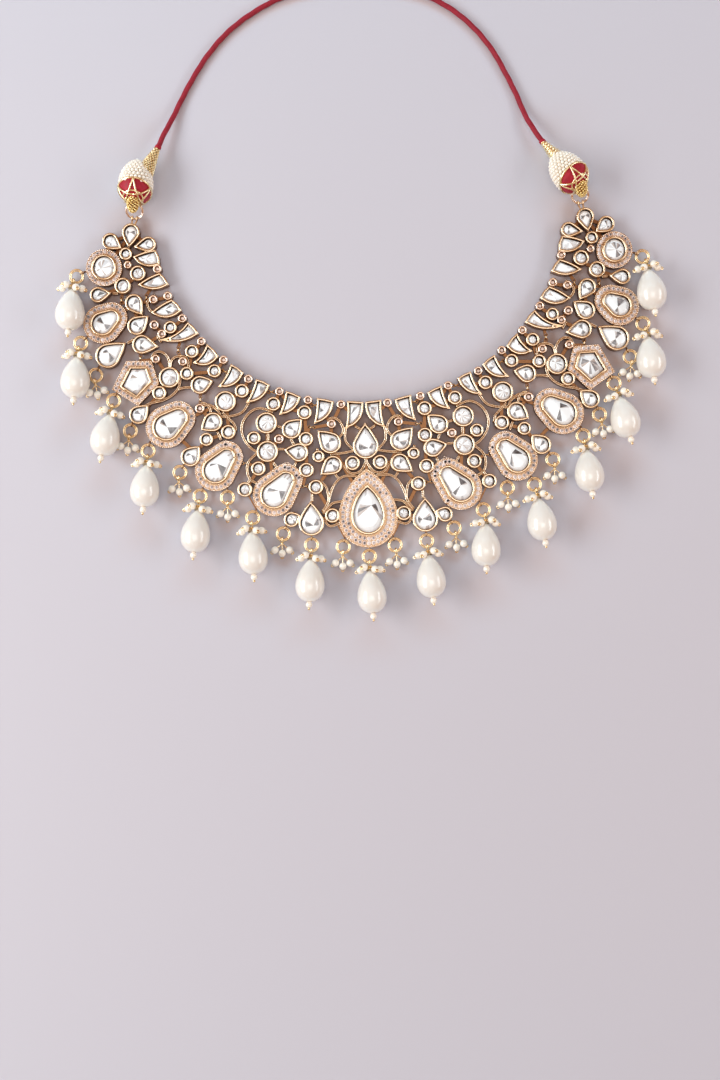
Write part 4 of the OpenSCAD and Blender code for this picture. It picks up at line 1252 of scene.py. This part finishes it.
@dataclass
class Drops:
    """Pearl drops and bead clusters that hang from the collar's outer edge.

    Args:
        palette: the finishes.
        ball_r: radius of the gold ring beads that end the pins.
        ball_wire: thickness of their metal.
    """

    palette: Palette
    ball_r: float = 0.4 * MM
    ball_wire: float = 0.42 * MM
    wires: list[Form] = field(default_factory=list)
    beads: list[Form] = field(default_factory=list)

    @staticmethod
    def hang_place(row: Sequence[float], place: Array) -> Array:
        """Where a jump ring carries what hangs from it."""
        ring, load = turned(row[2]), turned(row[3])
        return place + RING_R * along(ring) + RING_R * along((ring + load) / 2)

    @staticmethod
    def lie_angle() -> float:
        """How far the axis of a pearl that lies on its belly climbs from its loop."""
        start = EYE_R + PIN_WIRE / 2 + CAP_L + STONE_GAP
        return math.asin((0.535 * PEARL_W - RING_Z) / (start + 0.636 * PEARL_L))

    def loops(self, row: Sequence[float], place: Array) -> Form:
        """Four wire loops side by side on the jump ring, turned from each other."""
        turn = math.radians(row[2] + 3 * row[3]) / 4 + LAYOUT_TURN
        hang = np.array([*(self.hang_place(row, place) - 0.16 * MM * along(turn)), RING_Z])
        ring = hoop(EYE_R + 0.14 * MM, 0.36 * MM)
        forms = []
        for k, spread in ((-1.6, -0.7), (-0.6, -0.25), (0.5, 0.2), (1.5, 0.75)):
            way = along(turn + spread)
            across = np.array([-way[1], way[0], 0])
            axes = np.stack([np.array([*way, 0]), np.array([0, 0, 1.0]), -across])
            axes = axes * np.sign(np.linalg.det(axes))
            forms.append(ring.placed(axes, hang + 0.3 * k * MM * across))
        return Form.joined(forms)

    def jump_rings(self) -> Form:
        """Jump rings of both halves and the middle: two turns of wire side by side."""
        ring = Form.joined([
            hoop(RING_R + out * MM, 0.42 * MM, 32, 7).moved(np.array([0, 0, up * MM]))
            for out, up in ((0.05, 0.06), (-0.4, -0.06))
        ])
        flat = [at(row[0], row[1]) + RING_R * along(turned(row[2])) for row in DROPS + CLUSTERS]
        left = raised(np.array(flat), RING_Z)
        middle = STEP * np.array(CENTRE_DROP[:2]) + RING_R * along(turned(CENTRE_DROP[2]))
        return ring.scattered(np.concatenate([left, left * [-1, 1, 1], [[*middle, RING_Z]]]))

    def pinned(self, start: Array, centre: Array, lift: float = 0.5) -> None:
        """Small pearl on a pin, with a gold ring bead behind it that faces half up."""
        way = unit(centre - start)
        self.wires.append(tube(np.linspace(start, centre, 4), 0.17 * MM, 6))
        self.beads.append(ball(BEAD_W / 2, 16, 10).placed(axes_to(way), centre))
        spot = centre + (BEAD_W / 2 + 0.3 * self.ball_r) * way
        face = unit(way * (1 - lift) + np.array([0, 0, lift + 0.25]))
        ring = hoop(self.ball_r, self.ball_wire, 10, 6)
        self.wires.append(ring.placed(axes_to(face, (0.3, 0.9, 0.1)), spot))

    def head_pin(self, row: Sequence[float], place: Array, side: Side, name: str,
                 node: str) -> None:
        """Pearl with its cap, its wrapped loop and four small pearls round its knot."""
        turn, lie = turned(row[3]), self.lie_angle()
        c, s = math.cos(turn), math.sin(turn)
        axes = np.array([
            [math.sin(lie) * c, math.sin(lie) * s, -math.cos(lie)],
            [-s, c, 0],
            [math.cos(lie) * c, math.cos(lie) * s, math.sin(lie)],
        ])
        origin = np.array([*self.hang_place(row, place), RING_Z])
        knot = EYE_R + PIN_WIRE / 2
        start = knot + CAP_L + STONE_GAP

        t = np.radians(np.concatenate([[3, 7], np.arange(12, 172, 5), [173, 177]]))
        radius = PEARL_W / 2 * np.sin(t) * np.sin(t / 2)**0.75 / 0.812
        profile = np.stack([radius, start + PEARL_L / 2 * (1 - np.cos(t))], -1)
        pearl = revolved(profile, 40).placed(axes, origin).on(side)
        make_piece(name, pearl, self.palette["pearl"], "pearl", replaces=[node])

        before = len(self.wires), len(self.beads)
        self.wires.append(self.loops(row, place))
        t = np.linspace(0, 6 * math.pi, 40)
        coil = polar(0.33 * MM, t, knot + t / t[-1] * 0.5 * MM)
        self.wires.append(tube(coil, 0.14 * MM, 6).placed(axes, origin))
        self.wires.append(self.cap().moved(np.array([0, 0, knot + 0.3 * MM])).placed(axes, origin))
        end = start + PEARL_L + 0.4 * BEAD_W
        self.beads.append(ball(0.44 * BEAD_W, 14, 9).placed(axes, origin + end * axes[2]))
        tip = origin + (end + 0.55 * BEAD_W) * axes[2]
        self.wires.append(ball(0.42 * MM, 10, 6).placed(axes, tip))
        for up, out, ahead in ((0.2, -1.3, 0.62), (0.2, 1.3, 0.62), (0.85, 0.62, 0.75),
                               (0.75, -0.75, 0.35)):
            spot = np.array([-up * BEAD_W, out * BEAD_W, knot + ahead * BEAD_W])
            self.pinned(origin + knot * axes[2], origin + spot @ axes)
        self._mirror_from(before, side)

    @staticmethod
    def cap() -> Form:
        """Flared cap whose radius r swings by w cos 6a towards its rim, six petals in all."""
        a = 2 * math.pi * np.arange(36) / 36
        rows = [(0.3, 0, 0), (0.5, 0.15, 0), (0.95, 0.55, 0.06), (1.35, 1.0, 0.16),
                (1.3, 1.04, 0.16), (0.9, 0.7, 0.05), (0.3, 0.5, 0)]
        rings = [polar(r * (1 + w * np.cos(6 * a)), a, h) for r, h, w in rows]
        return stacked(np.array(rings) * MM)

    def cluster(self, row: Sequence[float], place: Array, side: Side) -> None:
        """Three small pearls that fan out on the ground under wire loops."""
        turn = turned(row[3])
        before = len(self.wires), len(self.beads)
        self.wires.append(self.loops(row, place))
        flat = self.hang_place(row, place) + (EYE_R + PIN_WIRE / 2) * along(turn)
        knot = np.array([*flat, RING_Z])
        self.wires.append(ball(0.42 * MM, 10, 6).moved(knot))
        for spread in (-FAN, 0, FAN):
            centre = flat + 1.28 * BEAD_W * along(turn + spread)
            self.pinned(knot, np.array([*centre, BEAD_W / 2 + STONE_GAP]))
        self._mirror_from(before, side)

    def _mirror_from(self, before: tuple[int, int], side: Side) -> None:
        """Moves what was added since a count to its side."""
        self.wires[before[0]:] = [f.on(side) for f in self.wires[before[0]:]]
        self.beads[before[1]:] = [f.on(side) for f in self.beads[before[1]:]]

    def build(self) -> None:
        """Makes the drops, clusters and jump rings, and gives the links their finish."""
        for side in Side:
            word = side.name.lower()
            for k, row in enumerate(DROPS):
                self.head_pin(row, at(row[0], row[1]), side, f"drop_{word}_{k + 1}",
                              f"pearl_{word}_{k + 1}")
            for row in CLUSTERS:
                self.cluster(row, at(row[0], row[1]), side)
        self.head_pin(CENTRE_DROP, STEP * np.array(CENTRE_DROP[:2]), Side.LEFT, "drop_centre",
                      "pearl_centre")
        make_piece("drop_wires", Form.joined(self.wires), self.palette["wire"], "gold_pin",
                   replaces=["head_pins_left", "head_pins_right", "bead_clusters"])
        make_piece("small_pearls", Form.joined(self.beads), self.palette["seed"], "pearl")
        make_piece("rings", self.jump_rings(), self.palette["wire"], "gold_ring",
                   replaces=["jump_rings"])
        dress(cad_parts["panel_links"], self.palette["wire"])


@dataclass
class Cone:
    """Beaded cone at one end of the collar.

    Args:
        palette: the finishes.
        side: the end that it belongs to.
        turn: turn of its body in degrees, as if on the left.
        shift: sideways shift of its tip.
        bend: bend of its tip in degrees.
        out: outward shift of its body.
        hook_turn: turn of the line from the end panel's eyes to the body.
        hook_r: radius of the hook ring.
        end_eye_z: height of the end panel's eyes.
        tip_slope: angle at which the tip sinks.
        cap_reach: angle from the knot to the edge of the crimson cap.
        seed_w: width of a seed pearl.
    """

    palette: Palette
    side: Side
    turn: float
    shift: float
    bend: float
    out: float
    hook_turn: float = turned(85)
    hook_r: float = 2.45 * MM
    end_eye_z: float = 2.2 * MM
    tip_slope: float = math.radians(16)
    cap_reach: float = math.radians(74)
    seed_w: float = 1.16 * MM

    def __post_init__(self) -> None:
        """Works out the body's origin, its rows down, sideways and ahead, and the knot."""
        self.tilt = math.asin((0.46 * CONE_W - self.end_eye_z) / (2 * self.hook_r))
        body_at = 2 * self.hook_r * math.cos(self.tilt) - 0.75 * MM
        self.end_eye = at(-233.5, 291.5)
        hook_way = along(self.hook_turn)
        way = along(turned(self.turn))
        self.axes = np.array([[0, 0, -1], [-way[1], way[0], 0], [way[0], way[1], 0]])
        beside = np.array([-hook_way[1], hook_way[0], 0])
        self.origin = self.on_hook_line(body_at) + self.out * beside
        self.knot = self.on_hook_line(body_at + 1 * MM) + np.array([0, 0, 0.27 * CONE_W])
        self.middle = self.origin + 0.4 * CONE_L * self.axes[2]
        self.pole = unit(self.knot - self.middle)
        b, a = self.tip_slope, math.radians(self.bend)
        local = np.array([math.cos(a) * math.sin(b), -math.sin(a), math.cos(a) * math.cos(b)])
        self.tip_start = self.origin + np.array([0, -self.shift, 0.76 * CONE_L]) @ self.axes
        self.tip_way = local @ self.axes

    def on_hook_line(self, distance: float) -> Array:
        """Place at a distance along the line from the end panel's eyes, at the axis' height."""
        return np.array([*(self.end_eye + distance * along(self.hook_turn)), CONE_W / 2])

    @staticmethod
    def profile() -> Array:
        """Pairs (place ahead of the middle, radius) of the body, smoothed through its points."""
        line = smooth_line(np.array(CONE_PROFILE), 8, corner=179)
        return (line - [0.4, 0]) * [CONE_L, CONE_W / 2]

    def on_body(self, ways: Array, sink: float) -> Array:
        """Places on the body in directions from its middle, sunk in along them."""
        line = self.profile()[::-1]
        angle = np.arctan2(line[:, 1], line[:, 0])
        want = np.arccos(np.clip(ways @ self.axes[2], -1, 1))
        reach = np.interp(want, angle, np.hypot(line[:, 0], line[:, 1])) - sink
        return self.middle + ways * reach[..., None]

    def cap_way(self, down: Array, turn: Array) -> Array:
        """Directions at an angle down from the knot's, and a turn about it from the tip's side."""
        ahead = unit(self.axes[2] - (self.axes[2] @ self.pole) * self.pole)
        across = np.cross(self.pole, ahead)
        up, out = np.cos(down)[..., None], np.sin(down)
        return (up * self.pole + (out * np.cos(turn))[..., None] * ahead
                + (out * np.sin(turn))[..., None] * across)

    def tip_end(self) -> Array:
        """Where the tip ends, on the cone's own side."""
        end = self.tip_start + TIP_L * self.tip_way
        return end * [self.side.value, 1, 1]

    def piece(self, name: str, form: Form, finish: str, replaces: Sequence[str] = ()) -> None:
        """Makes a piece of this cone on its own side."""
        word = self.side.name.lower()
        make_piece(f"{name}_{word}", form.on(self.side), self.palette[finish], "beaded_cone",
                   replaces=replaces)

    def build(self) -> None:
        """Makes the cloth, the seed pearls, the bands, the knot and the tip."""
        line = self.profile()[:, ::-1] + [-0.6 * self.seed_w, 0.4 * CONE_L]
        line[:, 0] = np.maximum(line[:, 0], 0.1 * MM)
        self.piece("cone_cloth", revolved(line, 40).placed(self.axes, self.origin), "lining",
                   replaces=[f"cone_{self.side.name.lower()}"])
        self.piece("cone_cap", self.cap(), "crimson")
        self.piece("cone_whipping", self.whipping(), "crimson")
        self.piece("seed_pearls", self.seeds(), "seed")
        self.piece("cone_bands", self.bands(), "cream")
        core, grains = self.knotted_ball()
        self.piece("cone_core", core, "core")
        self.piece("cone_knot", grains, "zari")
        self.piece("cone_tip", self.tip(), "cream")
        if self.side is Side.LEFT:
            make_piece("hook_rings", self.hook().both_sides(), self.palette["silver"],
                       "silver_hook", replaces=["end_hooks"])

    def hook(self) -> Form:
        """Split hook ring: two turns of wire that climb from the eyes into the body."""
        way = along(self.hook_turn)
        ahead = np.array([*(math.cos(self.tilt) * way), math.sin(self.tilt)])
        side = np.array([-way[1], way[0], 0])
        middle = self.on_hook_line(self.hook_r * math.cos(self.tilt))
        middle[2] = (0.46 * CONE_W + self.end_eye_z) / 2
        axes = np.array([ahead, side, np.cross(ahead, side)])
        turns = [hoop(self.hook_r + out * MM, 0.38 * MM, 32, 6) for out in (-0.17, 0.17)]
        return Form.joined(turns).placed(axes, middle)

    def cap(self) -> Form:
        """Crimson cap: rings at angles down from the knot to cap_reach, just under the body."""
        down, turn = np.meshgrid(np.linspace(self.cap_reach, 0.03, 16),
                                 np.linspace(0, 2 * math.pi, 48, endpoint=False), indexing="ij")
        return stacked(self.on_body(self.cap_way(down, turn), 0.3 * MM))

    def seeds(self) -> Form:
        """Seed pearls in rings over the body outside the cap, each half a bead on from the last."""
        line = self.profile()
        length = distances(line)
        places = []
        for k in range(int(length[-1] / (0.88 * self.seed_w)) + 1):
            s = k * 0.88 * self.seed_w
            ahead, radius = [np.interp(s, length, line[:, axis]) for axis in (0, 1)]
            radius = max(radius - 0.48 * self.seed_w, 0.1 * MM)
            count = max(1, int(2 * math.pi * radius / self.seed_w))
            places.append(self.ring_places(radius, ahead, count, math.pi, k))
        spots = np.concatenate(places) @ self.axes + self.middle
        spots = spots[unit(spots - self.middle) @ self.pole < math.cos(self.cap_reach)]
        return ball(self.seed_w / 2, 10, 7).scattered(spots)

    @staticmethod
    def ring_places(radius: float, ahead: float, count: int, start: float, row: int) -> Array:
        """Even places round ring number row: every other ring is half a place further on."""
        return polar(radius, start + 2 * math.pi * (np.arange(count) + 0.5 * (row % 2)) / count,
                     ahead)

    def bands(self) -> Form:
        """Gold threads over the cap: a rim, a ring near the knot and five straight-legged A's.

        A leg runs from the rim to where it touches a small circle round the knot. Its turn
        is acos(circle / rim) - acos(circle / angle down) from the A's top, to either side.
        """
        turn = np.linspace(0, 2 * math.pi, 72, endpoint=False)
        forms = []
        for down, radius in ((self.cap_reach, 0.34 * MM), (math.radians(33), 0.28 * MM)):
            line = self.on_body(self.cap_way(0 * turn + down, turn), 0.2 * MM)
            forms.append(tube(line, radius, 6, closed=True))
        down, circle = np.linspace(self.cap_reach, math.radians(20), 16), math.radians(20)
        leg = math.acos(circle / self.cap_reach) - np.arccos(np.clip(circle / down, -1, 1))
        for k in range(5):
            for side in (-1, 1):
                ways = self.cap_way(down, 2 * math.pi * k / 5 + side * leg)
                forms.append(tube(self.on_body(ways, 0.14 * MM), 0.3 * MM, 6))
        return Form.joined(forms)

    def knotted_ball(self) -> tuple[Form, Form]:
        """Core and grains of the knitted knot, which hangs over the hook ring.

        Grain i of n lies at the height 1 - (2i + 1) / n of a ball that is drawn out to an
        egg along a line that sinks towards the ring.
        """
        half = np.array([KNOT_W / 2, KNOT_W / 2, 2.8 * MM])
        grain, count = 0.34 * MM, 92
        centre = self.knot + np.array([*(-1.15 * MM * along(self.hook_turn)), -0.8 * MM])
        axes = axes_to(np.array([*(math.cos(0.5) * along(self.hook_turn)), math.sin(0.5)]))
        i = np.arange(count)
        z = 1 - (2 * i + 1) / count
        a = i * math.pi * (3 - math.sqrt(5))
        flat = np.sqrt(1 - z * z)
        spots = (polar(flat, a, z) * (half - grain)) @ axes + centre
        grains = ball(grain, 9, 6).scattered(spots)
        core = ball(1.0, 20, 12)
        return core.placed((half - 1.3 * grain)[:, None] * axes, centre), grains

    @staticmethod
    def knotted(profile: Array, knot: float, axes: Array, start: Array) -> tuple[Form, Form]:
        """Core of revolution with small knots in staggered rings all over it."""
        core = revolved(profile - [1.2 * knot, 0], 16)
        run = distances(profile)
        places = []
        for k in range(int(run[-1] / (1.8 * knot))):
            radius, ahead = [np.interp(1.8 * k * knot, run, profile[:, axis]) for axis in (0, 1)]
            radius -= 0.8 * knot
            count = max(4, int(2 * math.pi * radius / (2.1 * knot)))
            places.append(Cone.ring_places(radius, ahead, count, 0.5 * math.pi, k))
        knots = ball(knot, 8, 5).scattered(np.concatenate(places) @ axes + start)
        return core.placed(axes, start), knots

    def whipping(self) -> Form:
        """Crimson whipping round the cord where it leaves the tip."""
        profile = np.array([[0.5, 0], [0.95, 0.15], [0.97, 0.7], [0.9, 1.1], [0.5, 1.2]]) * MM
        return revolved(profile, 20).placed(axes_to(self.tip_way), self.tip_start
                                            + (TIP_L - 0.7 * MM) * self.tip_way)

    def tip(self) -> Form:
        """Tip that tapers from 0.25 to 0.08 of CONE_W: knots on the left, a coil on the right.

        The coil's radius is less by 0.4 mm * |cos(pi z / 1.05 mm + a / 2)|^3.
        """
        axes = axes_to(self.tip_way)
        if self.side is Side.LEFT:
            profile = np.array([[0.25 * CONE_W, 0], [0.08 * CONE_W, TIP_L - 0.2 * MM]])
            core, knots = self.knotted(profile, 0.38 * MM, axes, self.tip_start)
            self.piece("tip_core", core, "core")
            return knots
        turns = np.linspace(0, 2 * math.pi, 32, endpoint=False)
        z, a = np.meshgrid(np.linspace(0, TIP_L, 90), turns, indexing="ij")
        radius = (0.25 - 0.17 * z / TIP_L) * CONE_W
        radius = radius - 0.4 * MM * np.abs(np.cos(math.pi * z / (1.05 * MM) + a / 2))**3
        return stacked(polar(radius, a, z)).placed(axes, self.tip_start)


@dataclass
class NeckCord:
    """Twisted cord between the two cones.

    Args:
        palette: the finishes.
        left: the left cone.
        right: the right cone.
        strands: strands of the twist.
        lay: length of one turn of a strand.
    """

    palette: Palette
    left: Cone
    right: Cone
    strands: int = 3
    lay: float = 5.5 * MM

    def build(self) -> None:
        """Its radius at an angle a and a distance s is
        CORD_W / 2 * (0.86 + 0.14 |cos((strands a + 2 pi s / lay) / 2)|).
        """
        route = np.array(CORD_ROUTE) * MM
        route = np.concatenate([[self.left.tip_end()], route, [self.right.tip_end()]])
        path = smooth_line(route, 14, corner=179)
        run, sides = distances(path), 18
        a = 2 * math.pi * np.arange(sides) / sides
        phase = self.strands * a[None, :] + 2 * math.pi * run[:, None] / self.lay
        twist = np.abs(np.cos(phase / 2))
        form = tube(path, CORD_W / 2 * (0.86 + 0.14 * twist), sides)
        piece = make_piece("cord_twist", form, self.palette["cord"], "cord", replaces=["neck_cord"])


def write_sizes() -> None:
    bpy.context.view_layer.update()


def main() -> None:
    """Builds the scene: camera and cord first, then the collar, the drops and the cones."""
    logging.basicConfig(level=logging.INFO, format="%(name)s %(message)s")
    palette = Palette()
    studio = Studio()
    studio.camera()
    cones = [Cone(palette, Side.LEFT, 85, 2.5 * MM, 18, 0.0),
             Cone(palette, Side.RIGHT, 55, -0.45 * MM, 0, 0.5 * MM)]
    NeckCord(palette, *cones).build()
    studio.build(palette)
    Collar(palette).build()
    Drops(palette).build()
    for cone in cones:
        cone.build()
    write_sizes()


if __name__ == "__main__":
    main()
